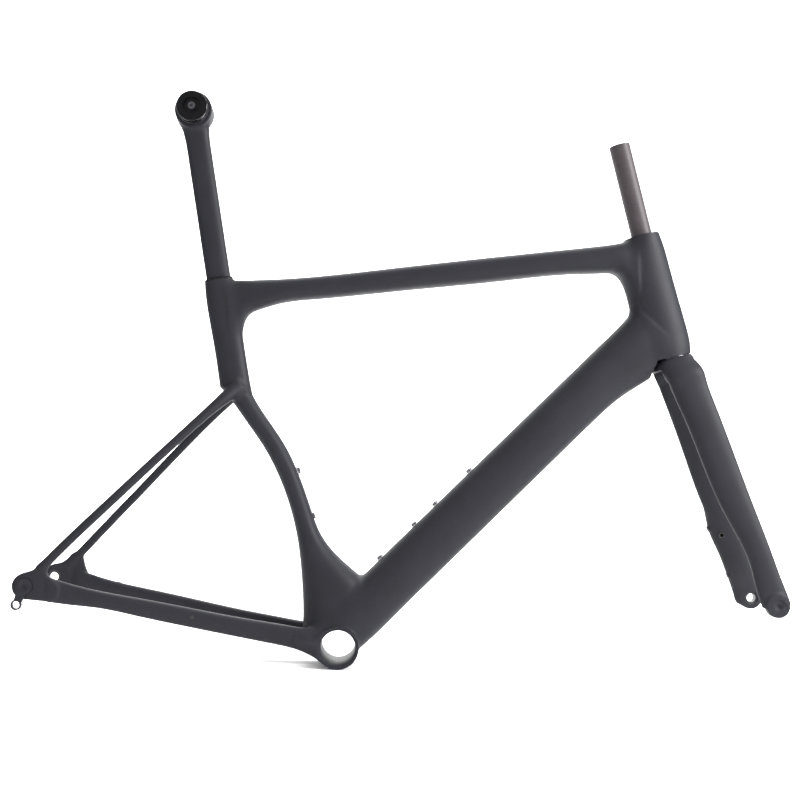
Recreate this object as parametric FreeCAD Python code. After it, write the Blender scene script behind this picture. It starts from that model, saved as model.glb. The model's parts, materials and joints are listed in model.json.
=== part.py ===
import FreeCAD, Part
import math
import os

from FreeCAD import Vector

# Carbon road frame for disc brakes, with its fork, aero seat post and two-sided saddle rail clamp.
# Millimetres. The origin is the bottom bracket's centre, +X points forwards, +Y to the rider's left, +Z up.
# Outline points are (x, z) pairs in the frame's middle plane.

# Driving dimensions: wheels and axles
CHAIN_STAY_LENGTH = 405.0
BOTTOM_BRACKET_DROP = 72.0
WHEELBASE = 971.6
REAR_HUB_WIDTH = 142.0
FRONT_HUB_WIDTH = 100.0
AXLE_BORE_RADIUS = 6.05
AXLE_THREAD_RADIUS = 5.25
THREAD_END_WALL = 2.6
DIMPLE_RADIUS = 2.6
DIMPLE_DEPTH = 1.9
DISH_RADIUS = 6.4
DISH_DEPTH = 1.2
REAR_CUT_OUT_RADIUS = 344.8
FRONT_ARCH_RADIUS = 341.0

# Driving dimensions: steering
HEAD_ANGLE = math.radians(75.0)
FORK_RAKE = 41.0
AXLE_TO_HEAD_TUBE = 350.0
HEAD_TUBE_LENGTH = 172.0
STEERER_RADIUS = 14.3
STEERER_BASE_RADIUS = 16.5
STEERER_BORE_RADIUS = 11.5
STEERER_TOP = 302.0
FORK_RECESS_RADIUS = 34.5
FORK_RECESS_LOWER_RADIUS = 37.2
FORK_RECESS_STEPS = (-7.0, -11.0, -60.0)
STEM_ZONE_START = 172.6
STEERER_HIDDEN_RADIUS = 13.6

# Driving dimensions: seat post and its clamp
POST_ANGLE = math.radians(79.2)
POST_HALF_DEPTH = 16.4
POST_HALF_WIDTH = 9.85
POST_CLEARANCE = 0.3
POST_WALL = 2.5
POST_INSERTED = 113.0
POST_BORE_DEPTH = 158.0
POST_EYE_HEIGHT = 234.8
POST_EYE_FORWARD = 1.5
COLLAR_CENTRE = (-178.6, 483.3)
EYE_RADIUS = 25.2
EYE_HALF_WIDTH = 15.0
EYE_BORE_RADIUS = 17.0
RAIL_RADIUS = 3.5
RAIL_HALF_SPACING = 22.0
RAIL_HEIGHT = 14.0
CLAMP_DISC_RADIUS = 21.0

# Driving dimensions: tubes
WALL = 2.2
HEAD_WALL = 3.0
DOWN_TUBE_ANGLE = math.radians(45.7)
DOWN_TUBE_TOP_OFFSET = 42.7
DOWN_TUBE_BOTTOM_OFFSET = -25.0
BB_SHELL_RADIUS = 27.5
BB_BORE_RADIUS = 23.0
BB_WIDTH = 86.5
SEAT_ARC_DEPTH = 25.8

# Driving dimensions: dropouts, hanger and rear brake seat
DROPOUT_INNER = REAR_HUB_WIDTH / 2
DROPOUT_OUTER = DROPOUT_INNER + 7.0
DROPOUT_AXLE_RADIUS = 16.3
DROPOUT_CHAIN_END = ((-369.0, 68.0), 13.0)
DROPOUT_SEAT_ARMS = {"right": (((-385.0, 78.0), 11.5), ((-379.5, 97.0), 6.2)),
                     "left": (((-366.0, 70.0), 14.0), ((-371.0, 100.0), 7.5))}
HANGER_SEAT_Y = DROPOUT_INNER + 4.0
HANGER_OUTER_Y = DROPOUT_INNER + 9.5
HANGER_DISC_RADIUS = 10.2
HANGER_BOSS_RADIUS = 8.0
HANGER_SCREW_RADIUS = 1.25
REAR_BRAKE_HOLES = (-344.0, -310.7)
REAR_BRAKE_Y = 66.6
REAR_BRAKE_HEIGHT = 62.6
REAR_BRAKE_TILT = 13.0
BUSH_RADIUS = 3.8
BUSH_LENGTH = 26.0
BUSH_BORE_RADIUS = 2.65
BUSH_HOLE_EXTRA = 8.0
PLUG_CENTRE = (-188.4, 36.6)
PLUG_RADIUS = 2.8

# Driving dimensions: headset bearings
LOWER_BEARING_RADIUS = 23.45
UPPER_BEARING_RADIUS = 20.9
LOWER_POCKET_DEPTH = 8.0
UPPER_POCKET_DEPTH = 7.5

# Driving dimensions: fork crown and tips
CROWN_BOTTOM = -11.0
FORK_TIP_RADIUS = 15.5
FORK_INNER = FRONT_HUB_WIDTH / 2
FORK_OUTER = FORK_INNER + 12.0
FRONT_INSERT_RADIUS = 9.0
FRONT_BRAKE_PAD = (((545.0, 192.0), (506.0, 198.5), 4.0), ((552.0, 172.0), (510.8, 167.6), 7.6),
                   ((562.0, 142.0), (526.8, 132.0), 8.0), ((574.0, 110.0), (540.4, 102.0), 7.6),
                   ((580.0, 92.0), (551.6, 85.6), 5.0))
FRONT_BRAKE_HOLES = ((511.4, 166.0), (540.1, 102.2))
GROMMET_CENTRE = (527.0, 158.0)
GROMMET_RADIUS = 4.0
HOSE_RADIUS = 2.6
BRAKE_PAD_Y = 50.6
FRONT_INSERT_BODY_RADIUS = 4.4

# Driving dimensions: bottle bolts and the seat clamp
BOTTLE_FIRST_BOLTS = (119.6, 223.1)
BOTTLE_BOLT_PITCH = 64.0
SEAT_BOTTLE_ANGLE = 20.1
INSERT_RADIUS = 4.0
INSERT_FLANGE_RADIUS = 6.0
INSERT_FLANGE_SINK = 0.6
CLAMP_BOLT_FORWARD = 22.0
CLAMP_BOLT_WAY_RADIUS = 4.9

SECTION_POINTS = 24
CUTTER_LENGTH = 300.0
FIT_GAP = 0.3
RUNNING_CLEARANCE = 0.05
M5_RADIUS = 2.5
M5_KEY_RADIUS = 1.7
M6_RADIUS = 3.0

PARTS_FOLDER = "parts"

REAR_AXLE = (-math.sqrt(CHAIN_STAY_LENGTH ** 2 - BOTTOM_BRACKET_DROP ** 2), BOTTOM_BRACKET_DROP)
FRONT_AXLE = (REAR_AXLE[0] + WHEELBASE, BOTTOM_BRACKET_DROP)
HANGER_EYE = (REAR_AXLE[0] - 8.8, REAR_AXLE[1] - 23.2)
SIDES = (("right", -1.0), ("left", 1.0))


# Points and directions in the middle plane

def offset(origin, direction, distance, normal_distance=0.0):
    """Point reached from origin along a unit direction, then along the normal on the direction's left."""
    normal = (-direction[1], direction[0])
    return (origin[0] + direction[0] * distance + normal[0] * normal_distance,
            origin[1] + direction[1] * distance + normal[1] * normal_distance)


def polar(centre, radius, degrees):
    """Point at a radius and an angle from a centre."""
    angle = math.radians(degrees)
    return (centre[0] + radius * math.cos(angle), centre[1] + radius * math.sin(angle))


def in_space(point, y=0.0):
    """Point of the middle plane moved sideways to y."""
    return Vector(point[0], y, point[1])


STEER_UP = (-math.cos(HEAD_ANGLE), math.sin(HEAD_ANGLE))
POST_UP = (-math.cos(POST_ANGLE), math.sin(POST_ANGLE))
DOWN_TUBE_UP = (math.cos(DOWN_TUBE_ANGLE), math.sin(DOWN_TUBE_ANGLE))
HEAD_BASE = offset(FRONT_AXLE, STEER_UP, AXLE_TO_HEAD_TUBE, FORK_RAKE)
POST_EYE = offset(COLLAR_CENTRE, POST_UP, POST_EYE_HEIGHT, -POST_EYE_FORWARD)


def head_point(up, forward):
    """Point beside the steering axis: up from the head tube's lower face, forward across the axis."""
    return offset(HEAD_BASE, STEER_UP, up, -forward)


def post_point(up, forward):
    """Point beside the seat post's axis: up from the seat collar's centre, forward across the axis."""
    return offset(COLLAR_CENTRE, POST_UP, up, -forward)


def down_tube_point(along, above):
    """Point along the down tube from the bottom bracket, above its parallel through the origin."""
    return offset((0.0, 0.0), DOWN_TUBE_UP, along, above)


# Solids

def section(upper, lower, half_width, y=0.0, power=2.4):
    """Closed superellipse curve between two outline points, as a wire."""
    centre = ((upper[0] + lower[0]) / 2, (upper[1] + lower[1]) / 2)
    half = ((upper[0] - lower[0]) / 2, (upper[1] - lower[1]) / 2)
    points = []
    for step in range(SECTION_POINTS):
        angle = 2 * math.pi * step / SECTION_POINTS
        depth = math.copysign(abs(math.cos(angle)) ** (2 / power), math.cos(angle))
        width = math.copysign(abs(math.sin(angle)) ** (2 / power), math.sin(angle))
        points.append(Vector(centre[0] + half[0] * depth, y + half_width * width, centre[1] + half[1] * depth))
    curve = Part.BSplineCurve()
    parameters = [step / SECTION_POINTS for step in range(SECTION_POINTS + 1)]
    curve.interpolate(Points=points, PeriodicFlag=True, Parameters=parameters)
    return Part.Wire(curve.toShape())


def shrink(upper, lower, wall):
    """Two outline points moved towards each other by a wall thickness."""
    depth = math.dist(upper, lower)
    step = ((lower[0] - upper[0]) / depth * wall, (lower[1] - upper[1]) / depth * wall)
    return (upper[0] + step[0], upper[1] + step[1]), (lower[0] - step[0], lower[1] - step[1])


def loft(stations, wall=0.0, power=2.4):
    """Smooth solid through stations of (upper, lower, half width, side offset), thinner by wall all round."""
    wires = []
    for upper, lower, half_width, y in stations:
        upper, lower = shrink(upper, lower, wall)
        wires.append(section(upper, lower, half_width - wall, y, power))
    return Part.makeLoft(wires, True, False)


def centred(stations):
    """Stations of (upper, lower, half width) given a side offset of zero."""
    return [(upper, lower, half_width, 0.0) for upper, lower, half_width in stations]


def rod(start, end, radius, y=0.0):
    """Cylinder between two points of the middle plane, moved sideways to y."""
    first = in_space(start, y)
    axis = in_space(end, y) - first
    return Part.makeCylinder(radius, axis.Length, first, axis)


def ring(start, end, outer, inner, y=0.0):
    """Tube between two points of the middle plane."""
    return rod(start, end, outer, y).cut(rod(start, end, inner, y))


def cross_rod(centre, radius, y_start, y_end):
    """Cylinder along Y between two side positions."""
    low = min(y_start, y_end)
    return Part.makeCylinder(radius, abs(y_end - y_start), in_space(centre, low), Vector(0, 1, 0))


def strap(first, first_radius, second, second_radius, y_start, y_end):
    """Plate with two round ends joined by their outer tangents."""
    distance = math.dist(first, second)
    heading = math.atan2(second[1] - first[1], second[0] - first[0])
    spread = math.acos((first_radius - second_radius) / distance)
    low = min(y_start, y_end)
    corners = []
    for centre, radius, turn in ((first, first_radius, spread), (second, second_radius, spread),
                                 (second, second_radius, -spread), (first, first_radius, -spread)):
        corners.append(in_space(polar(centre, radius, math.degrees(heading + turn)), low))
    face = Part.Face(Part.makePolygon(corners + corners[:1]))
    plate = face.extrude(Vector(0, abs(y_end - y_start), 0))
    plate = plate.fuse(cross_rod(first, first_radius, y_start, y_end))
    return plate.fuse(cross_rod(second, second_radius, y_start, y_end))


def socket_screw(seat, direction, head_radius, head_height, shank_radius, shank_length, key_radius):
    """Screw whose head stands on seat along direction, with a hexagonal key socket and a plain shank."""
    head = Part.makeCylinder(head_radius, head_height, seat, direction)
    shank = Part.makeCylinder(shank_radius, shank_length, seat - direction * shank_length, direction)
    key_depth = head_height * 0.6
    circle = Part.makeCircle(key_radius, seat + direction * (head_height - key_depth), direction)
    corners = circle.discretize(7)
    key = Part.Face(Part.makePolygon(corners)).extrude(direction * key_depth)
    return head.fuse(shank).cut(key).removeSplitter()


def largest_solid(shape):
    """Biggest solid of a cut shape, without the slivers that a cut can leave."""
    return max(shape.Solids, key=lambda solid: solid.Volume)


def cut_all(shape, tools):
    """Shape with every tool cut from it, as one solid."""
    for tool in tools:
        shape = shape.cut(tool)
    return largest_solid(shape)


def save(name, shape):
    """Write one sub-part, after checking that it is sound."""
    if not shape.isValid() or not shape.Solids:
        raise RuntimeError(f"{name} is not a sound solid")
    shape.exportStep(os.path.join(PARTS_FOLDER, f"{name}.step"))


# Outer shapes of the tubes

def head_tube_stations():
    """Head tube sections: front and rear distance from the steering axis, and half width."""
    rows = ((0.0, 25.8, 37.0, 26.0), (8.0, 27.8, 39.5, 26.3), (28.0, 29.4, 40.6, 25.4), (60.0, 28.6, 40.8, 24.3),
            (95.0, 27.5, 40.8, 23.8), (125.0, 26.8, 39.5, 23.6), (150.0, 26.0, 33.0, 23.8),
            (165.0, 24.4, 26.5, 24.0), (HEAD_TUBE_LENGTH, 23.3, 23.4, 23.4))
    return centred([(head_point(up, front), head_point(up, -rear), half_width)
                    for up, front, rear, half_width in rows])


def top_tube_stations():
    """Top tube sections from inside the seat tube to inside the head tube, deeper at both junctions."""
    return centred([
        ((-168.0, 480.8), (-156.0, 406.3), 14.0),
        ((-150.0, 484.6), (-145.5, 417.3), 15.0),
        ((-140.0, 485.0), (-138.0, 434.6), 16.2),
        ((-124.0, 485.9), (-122.5, 445.4), 17.8),
        ((-96.0, 487.9), (-94.5, 454.9), 19.2),
        ((-50.0, 492.8), (-47.0, 462.6), 20.0),
        ((70.0, 510.4), (74.0, 479.0), 20.5),
        ((200.0, 529.5), (204.0, 496.6), 21.5),
        ((300.0, 543.6), (304.0, 510.0), 22.5),
        ((344.0, 550.0), (346.0, 512.8), 23.0),
        ((362.0, 553.3), (364.0, 510.2), 23.2),
        ((373.0, 556.0), (375.5, 498.0), 23.0),
        ((386.0, 558.3), (391.0, 476.3), 22.0),
    ])


def down_tube_stations():
    """Down tube sections: lower and upper edge distance from the parallel through the origin, half width."""
    low = DOWN_TUBE_BOTTOM_OFFSET
    high = DOWN_TUBE_TOP_OFFSET
    rows = ((4.0, low + 2.0, high - 3.0, 39.0), (40.0, low, high, 37.5), (90.0, low, high, 33.5),
            (150.0, low, high, 30.0), (240.0, low, high, 28.0), (340.0, low, high, 27.5), (430.0, low, high, 27.0),
            (470.0, low - 0.3, high, 26.8), (506.0, low - 2.8, high, 26.5), (538.0, low - 9.2, high, 26.2),
            (564.0, low - 15.4, high, 26.0), (586.0, low - 18.0, high + 0.8, 25.0), (602.0, low - 4.0, 45.0, 23.0))
    return centred([(down_tube_point(along, upper), down_tube_point(along, lower), half_width)
                    for along, lower, upper, half_width in rows])


def seat_tube_straight_stations():
    """Upper seat tube sections, in line with the seat post."""
    rows = ((0.0, 19.3, 19.3, 13.6), (-6.0, 19.9, 19.9, 14.0), (-80.0, 19.9, 20.9, 14.0),
            (-POST_BORE_DEPTH + 14.0, 19.9, 21.2, 14.3))
    return centred([(post_point(up, -rear), post_point(up, front), half_width)
                    for up, rear, front, half_width in rows])


def seat_tube_arc_stations():
    """Lower seat tube sections, round the rear wheel and flared into the bottom bracket."""
    rows = ((40.0, 0.0, SEAT_ARC_DEPTH, 14.6), (32.0, 0.0, SEAT_ARC_DEPTH, 15.2), (24.0, 0.0, SEAT_ARC_DEPTH, 16.0),
            (16.0, 0.2, 27.0, 17.5), (10.5, 0.6, 34.5, 20.0), (5.5, 1.2, 58.0, 25.5), (2.2, 2.2, 83.0, 30.0))
    stations = [((-158.5, 325.8), (-127.0, 329.8), 14.4)]
    for angle, rear, front, half_width in rows:
        stations.append((polar(REAR_AXLE, REAR_CUT_OUT_RADIUS + rear, angle),
                         polar(REAR_AXLE, REAR_CUT_OUT_RADIUS + front, angle), half_width))
    stations.append(((-48.6, 46.0), (52.0, 46.0), 35.0))
    stations.append(((-48.0, 14.0), (36.0, 14.0), 40.0))
    return centred(stations)


def chain_stay_stations(side):
    """Chain stay sections from the bottom bracket to the dropout."""
    rows = (((-6.0, 23.0), (-3.0, -25.6), 33.0, 9.6), ((-26.0, 23.6), (-24.0, -17.0), 33.6, 9.4),
            ((-48.5, 24.8), (-47.5, -6.2), 34.8, 9.0), ((-80.5, 29.2), (-79.0, 1.9), 37.3, 8.7),
            ((-130.5, 36.7), (-128.5, 11.0), 42.2, 8.4), ((-201.0, 49.2), (-198.5, 24.2), 50.0, 8.0),
            ((-261.0, 59.6), (-258.0, 36.1), 57.2, 7.5), ((-311.0, 68.4), (-307.0, 45.7), 63.6, 7.0),
            ((-346.0, 77.0), (-343.0, 49.4), 69.0, 6.4), ((-369.0, 84.0), (-368.5, 52.6), 73.2, 5.6))
    return [(upper, lower, half_width, side * y) for upper, lower, y, half_width in rows]


def seat_stay_stations(side):
    """Seat stay sections along a line of about 45 degrees, from the dropout to the seat tube."""
    right_end = ((-381.0, 474.5, 6.0, 74.0, 5.2), (-362.0, 476.0, 5.8, 74.4, 5.6), (-335.0, 477.4, 5.7, 74.0, 5.8),
                 (-311.0, 478.0, 5.7, 72.4, 6.0), (-286.0, 479.0, 5.7, 68.0, 6.0))
    left_end = ((-381.0, 467.5, 6.0, 74.0, 5.2), (-362.0, 469.8, 5.8, 74.4, 5.6), (-335.0, 473.4, 5.7, 74.0, 5.8),
                (-311.0, 476.3, 5.7, 72.4, 6.0), (-286.0, 478.3, 5.7, 68.0, 6.0))
    upper_rows = ((-262.0, 480.5, 5.7, 61.4, 6.0), (-240.0, 482.0, 5.7, 53.6, 6.0), (-217.0, 483.3, 5.8, 44.8, 6.2),
                  (-192.0, 484.4, 6.2, 35.4, 6.6), (-170.0, 484.8, 7.4, 25.6, 7.6), (-154.0, 485.0, 9.0, 15.6, 9.5),
                  (-143.0, 485.0, 10.0, 8.0, 10.0))
    rows = (left_end if side > 0 else right_end) + upper_rows
    stations = []
    for x, rise, half_depth, y, half_width in rows:
        centre = (x, x + rise)
        across = half_depth * math.sqrt(0.5)
        upper = (centre[0] - across, centre[1] + across)
        lower = (centre[0] + across, centre[1] - across)
        stations.append((upper, lower, half_width, side * y))
    return stations


def fork_crown_stations():
    """Crown sections below the head tube: front and rear distance from the steering axis, half width."""
    rows = ((-1.0, 24.6, 22.4, 24.8), (-5.0, 26.4, 24.2, 28.4), (-10.0, 28.8, 25.2, 31.2),
            (-16.0, 31.4, 25.4, 33.2), (-23.0, 33.8, 24.2, 34.4), (-31.0, 34.8, 22.6, 35.8))
    return centred([(head_point(up, front), head_point(up, -rear), half_width)
                    for up, front, rear, half_width in rows])


def fork_leg_stations(side):
    """Fork leg sections, front edge first, tapering and moving outwards to the axle."""
    rows = (((475.0, 387.0), (427.0, 377.5), 26.0, 9.6), ((483.5, 366.5), (436.3, 352.0), 28.0, 9.6),
            ((494.0, 336.0), (450.3, 320.0), 31.8, 9.5), ((512.5, 287.0), (470.0, 272.0), 36.3, 9.3),
            ((543.6, 202.3), (506.0, 188.0), 44.0, 8.6), ((566.8, 140.5), (536.0, 129.5), 50.2, 7.6),
            ((578.6, 107.5), (547.6, 100.0), 53.6, 6.8), ((587.0, 86.0), (555.6, 79.5), 55.4, 6.2))
    return [(front, rear, half_width, side * y) for front, rear, y, half_width in rows]


# Frame tubes

def make_tubes():
    """All bonded carbon tubes of the frame, each cut back to its neighbours' outer skin."""
    shapes = {}
    half_bb = BB_WIDTH / 2
    bb_outer = cross_rod((0.0, 0.0), BB_SHELL_RADIUS, -half_bb, half_bb)
    bb_bore = cross_rod((0.0, 0.0), BB_BORE_RADIUS, -half_bb, half_bb)
    head_outer = loft(head_tube_stations(), power=2.0)
    seat_straight = loft(seat_tube_straight_stations(), power=2.3)
    seat_arc = loft(seat_tube_arc_stations(), power=2.3)
    wedge_block = clamp_block(14.0, 28.6, 9.6, -8.0, -42.0)
    seat_link = loft([seat_tube_straight_stations()[-1], seat_tube_arc_stations()[0]], power=2.3)
    seat_outer = seat_straight.fuse(seat_link).fuse(seat_arc)
    down_outer = loft(down_tube_stations(), power=2.5)
    fork_recess = make_fork_recess()

    shapes["bottom_bracket_shell"] = bb_outer.cut(bb_bore)
    shapes["head_tube"] = make_head_tube(head_outer)

    down_hollow = loft(down_tube_stations(), wall=WALL, power=2.5)
    down = down_outer.cut(fork_recess)
    down_tube = cut_all(down, [down_hollow, head_outer, bb_outer])
    shapes["down_tube"] = cut_all(down_tube, [bottle_hole(*place) for place in down_tube_bosses()])

    post_bore = loft(post_bore_stations())
    arc_hollow = loft(seat_tube_arc_stations(), wall=WALL + 0.4, power=2.3)
    pocket = clamp_block(POST_HALF_DEPTH - 2.0, 26.4, 7.2, -10.0, -40.0)
    bolt_way = rod(post_point(-12.0, CLAMP_BOLT_FORWARD), post_point(12.0, CLAMP_BOLT_FORWARD),
                   CLAMP_BOLT_WAY_RADIUS)
    seat_tube = seat_outer.fuse(wedge_block)
    seat_tube = cut_all(seat_tube, [post_bore, arc_hollow, pocket, bolt_way, down_outer, bb_outer])
    shapes["seat_tube"] = cut_all(seat_tube, [bottle_hole(*place) for place in seat_tube_bosses()])

    top_outer = loft(top_tube_stations(), power=2.5)
    top_hollow = loft(top_tube_stations(), wall=WALL, power=2.5)
    shapes["top_tube"] = cut_all(top_outer, [top_hollow, seat_outer, wedge_block, head_outer, bolt_way])

    junction = [bb_outer, down_outer, seat_outer]
    for name, side in SIDES:
        dropout = dropout_outer(name, side)
        chain_outer = loft(chain_stay_stations(side), power=2.6)
        chain_hollow = loft(chain_stay_stations(side)[1:-1], wall=WALL, power=2.6)
        chain = cut_all(chain_outer, [chain_hollow, dropout] + junction)
        seat_stay = loft(seat_stay_stations(side), power=2.3)
        stay_hollow = loft(seat_stay_stations(side)[1:9], wall=WALL, power=2.3)
        stay = cut_all(seat_stay, [stay_hollow, dropout, seat_outer, chain_outer])
        stay = cut_all(stay, [half_space(side)])
        if side > 0:
            chain = cut_all(chain, [bush_body(x, BUSH_LENGTH + BUSH_HOLE_EXTRA) for x in REAR_BRAKE_HOLES])
        else:
            chain = cut_all(chain, [plug_body()])
        shapes[f"{name}_chain_stay"] = chain
        shapes[f"{name}_seat_stay"] = stay
    return shapes


def make_fork_recess():
    """Room in the down tube for the fork crown and the tops of the legs at every steering angle."""
    shoulder, lower, foot = FORK_RECESS_STEPS
    flare = Part.makeCone(FORK_RECESS_LOWER_RADIUS, FORK_RECESS_RADIUS, shoulder - lower,
                          in_space(head_point(lower, 0.0)), in_space(STEER_UP))
    upper = rod(head_point(0.0, 0.0), head_point(shoulder, 0.0), FORK_RECESS_RADIUS)
    return upper.fuse(flare).fuse(rod(head_point(lower, 0.0), head_point(foot, 0.0), FORK_RECESS_LOWER_RADIUS))


def half_space(side):
    """Everything on the other side of the middle plane, so that paired stays meet but don't overlap."""
    corner = Vector(-CUTTER_LENGTH * 2, 0.0 if side < 0 else -CUTTER_LENGTH, -CUTTER_LENGTH)
    return Part.makeBox(CUTTER_LENGTH * 3, CUTTER_LENGTH, CUTTER_LENGTH * 3, corner)


def make_head_tube(outer):
    """Head tube with a bearing pocket at each end and a hollow middle."""
    end_web = 16.0
    stations = [row for row in head_tube_stations()[2:7]]
    hollow = loft(stations, wall=HEAD_WALL, power=2.0)
    passage = rod(head_point(0.0, 0.0), head_point(HEAD_TUBE_LENGTH, 0.0), 18.4)
    lower_pocket = rod(head_point(0.0, 0.0), head_point(LOWER_POCKET_DEPTH, 0.0), LOWER_BEARING_RADIUS)
    upper_pocket = rod(head_point(HEAD_TUBE_LENGTH - UPPER_POCKET_DEPTH, 0.0),
                       head_point(HEAD_TUBE_LENGTH + end_web, 0.0), UPPER_BEARING_RADIUS)
    return cut_all(outer, [hollow, passage, lower_pocket, upper_pocket])


# Bottle bosses

def bottle_hole(seat, direction):
    """Solid envelope of a riveted bottle insert, with the room above its flange."""
    depth = 12.0
    room = 7.0
    body = Part.makeCylinder(INSERT_RADIUS, depth, seat - direction * depth, direction)
    sink = seat - direction * INSERT_FLANGE_SINK
    return body.fuse(Part.makeCylinder(INSERT_FLANGE_RADIUS, room, sink, direction))


def down_tube_bosses():
    """Seats of the four down tube bottle bolts, in two overlapping pairs."""
    direction = in_space(down_tube_point(0.0, 1.0))
    places = []
    for first in BOTTLE_FIRST_BOLTS:
        for along in (first, first + BOTTLE_BOLT_PITCH):
            places.append((in_space(down_tube_point(along, DOWN_TUBE_TOP_OFFSET)), direction))
    return places


def seat_tube_bosses():
    """Seats of the two seat tube bottle bolts, on the arc's front."""
    radius = REAR_CUT_OUT_RADIUS + SEAT_ARC_DEPTH
    half_angle = math.degrees(math.asin(BOTTLE_BOLT_PITCH / 2 / radius))
    middle = SEAT_BOTTLE_ANGLE
    chord = in_space(polar((0.0, 0.0), 1.0, middle))
    return [(in_space(polar(REAR_AXLE, radius, middle + turn)), chord) for turn in (half_angle, -half_angle)]


def make_bottle_hardware(places):
    """Inserts and bolts for a list of boss seats, each list as one compound."""
    body_length = 10.0
    inserts = []
    bolts = []
    for seat, direction in places:
        sink = seat - direction * INSERT_FLANGE_SINK
        flange_top = seat + direction * INSERT_FLANGE_SINK
        body = Part.makeCylinder(INSERT_RADIUS, body_length, flange_top - direction * body_length, direction)
        flange = Part.makeCylinder(INSERT_FLANGE_RADIUS, 2 * INSERT_FLANGE_SINK, sink, direction)
        bore = Part.makeCylinder(M5_RADIUS, 2 * body_length, seat - direction * body_length * 1.2, direction)
        inserts.append(body.fuse(flange).cut(bore).removeSplitter())
        bolts.append(socket_screw(flange_top, direction, 4.2, 3.6, M5_RADIUS, body_length, M5_KEY_RADIUS))
    return Part.makeCompound(inserts), Part.makeCompound(bolts)


# Dropouts, hanger and rear brake seat


def dropout_outer(name, side):
    """Solid dropout plate: round at the axle, with an arm to each stay."""
    low = side * DROPOUT_INNER
    high = side * DROPOUT_OUTER
    foot, top = DROPOUT_SEAT_ARMS[name]
    plate = strap(REAR_AXLE, DROPOUT_AXLE_RADIUS, *DROPOUT_CHAIN_END, low, high)
    return plate.fuse(strap(*foot, *top, low, high)).removeSplitter()


def blind_thread(centre, mouth_y, outer_y):
    """Tools for an axle thread that ends in a thin wall, and for the dish and dimple in that wall's outer face."""
    outwards = math.copysign(1.0, outer_y - mouth_y)
    thread = cross_rod(centre, AXLE_THREAD_RADIUS, mouth_y, outer_y - outwards * THREAD_END_WALL)
    dimple = cross_rod(centre, DIMPLE_RADIUS, outer_y - outwards * DIMPLE_DEPTH, outer_y)
    dish = Part.makeCone(DIMPLE_RADIUS, DISH_RADIUS, DISH_DEPTH,
                         in_space(centre, outer_y - outwards * DISH_DEPTH), Vector(0, outwards, 0))
    return Part.makeCompound([thread, dimple.fuse(dish)])


def make_dropouts():
    """Both dropouts, the axle insert on the left and the screwed-on hanger on the right."""
    shapes = {}
    right = dropout_outer("right", -1.0)
    seat = cross_rod(REAR_AXLE, HANGER_DISC_RADIUS, -HANGER_SEAT_Y, -HANGER_OUTER_Y)
    boss = cross_rod(REAR_AXLE, HANGER_BOSS_RADIUS, -DROPOUT_INNER, -HANGER_SEAT_Y)
    arm = strap(REAR_AXLE, 6.4, HANGER_EYE, 4.6, -HANGER_SEAT_Y, -HANGER_OUTER_Y)
    eye = cross_rod(HANGER_EYE, 6.6, -HANGER_SEAT_Y, -HANGER_OUTER_Y)
    hanger = seat.fuse(boss).fuse(arm).fuse(eye)
    thread = blind_thread(REAR_AXLE, -DROPOUT_INNER, -HANGER_OUTER_Y)
    eye_thread = cross_rod(HANGER_EYE, 4.6, 0.0, -CUTTER_LENGTH)
    hanger = hanger.cut(thread).cut(eye_thread).removeSplitter()
    screws = []
    for angle in (20.0, 160.0):
        centre = polar(REAR_AXLE, 7.75, angle)
        shank = cross_rod(centre, HANGER_SCREW_RADIUS, -DROPOUT_INNER - 1.0, -HANGER_OUTER_Y + 1.2)
        head = cross_rod(centre, 2.0, -HANGER_OUTER_Y + 1.2, -HANGER_OUTER_Y)
        screws.append(shank.fuse(head).removeSplitter())
    screw_set = Part.makeCompound(screws)
    plate_bore = cross_rod(REAR_AXLE, HANGER_BOSS_RADIUS, 0.0, -CUTTER_LENGTH)
    shapes["right_dropout"] = cut_all(right, [hanger, plate_bore, screw_set])
    shapes["derailleur_hanger"] = cut_all(hanger, [screw_set])
    shapes["hanger_screws"] = screw_set
    sleeve_bore = cross_rod(REAR_AXLE, 9.0, DROPOUT_INNER, DROPOUT_OUTER)
    axle_bore = cross_rod(REAR_AXLE, AXLE_BORE_RADIUS, DROPOUT_INNER, DROPOUT_OUTER)
    shapes["left_dropout"] = cut_all(dropout_outer("left", 1.0), [sleeve_bore])
    shapes["left_rear_axle_insert"] = sleeve_bore.cut(axle_bore)
    return shapes


def bush_body(x, length=BUSH_LENGTH):
    """Solid envelope of one rear brake bush, through the left chain stay."""
    up = polar((0.0, 0.0), 1.0, 90.0 - REAR_BRAKE_TILT)
    middle = (x, REAR_BRAKE_HEIGHT - math.tan(math.radians(REAR_BRAKE_TILT)) * (x - REAR_BRAKE_HOLES[0]))
    start = offset(middle, up, -length / 2)
    return rod(start, offset(start, up, length), BUSH_RADIUS, REAR_BRAKE_Y)


def make_rear_brake_bushes():
    """The two bushes that the rear brake's screws pass through."""
    bushes = []
    for x in REAR_BRAKE_HOLES:
        body = bush_body(x)
        axis = body.CenterOfMass
        up = in_space(polar((0.0, 0.0), 1.0, 90.0 - REAR_BRAKE_TILT))
        bushes.append(body.cut(Part.makeCylinder(BUSH_BORE_RADIUS, BUSH_LENGTH * 2, axis - up * BUSH_LENGTH, up)))
    return Part.makeCompound(bushes)


def plug_body():
    """Small plug in the right chain stay's outer face."""
    return cross_rod(PLUG_CENTRE, PLUG_RADIUS, -54.0, -57.0)


# Headset bearings


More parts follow.
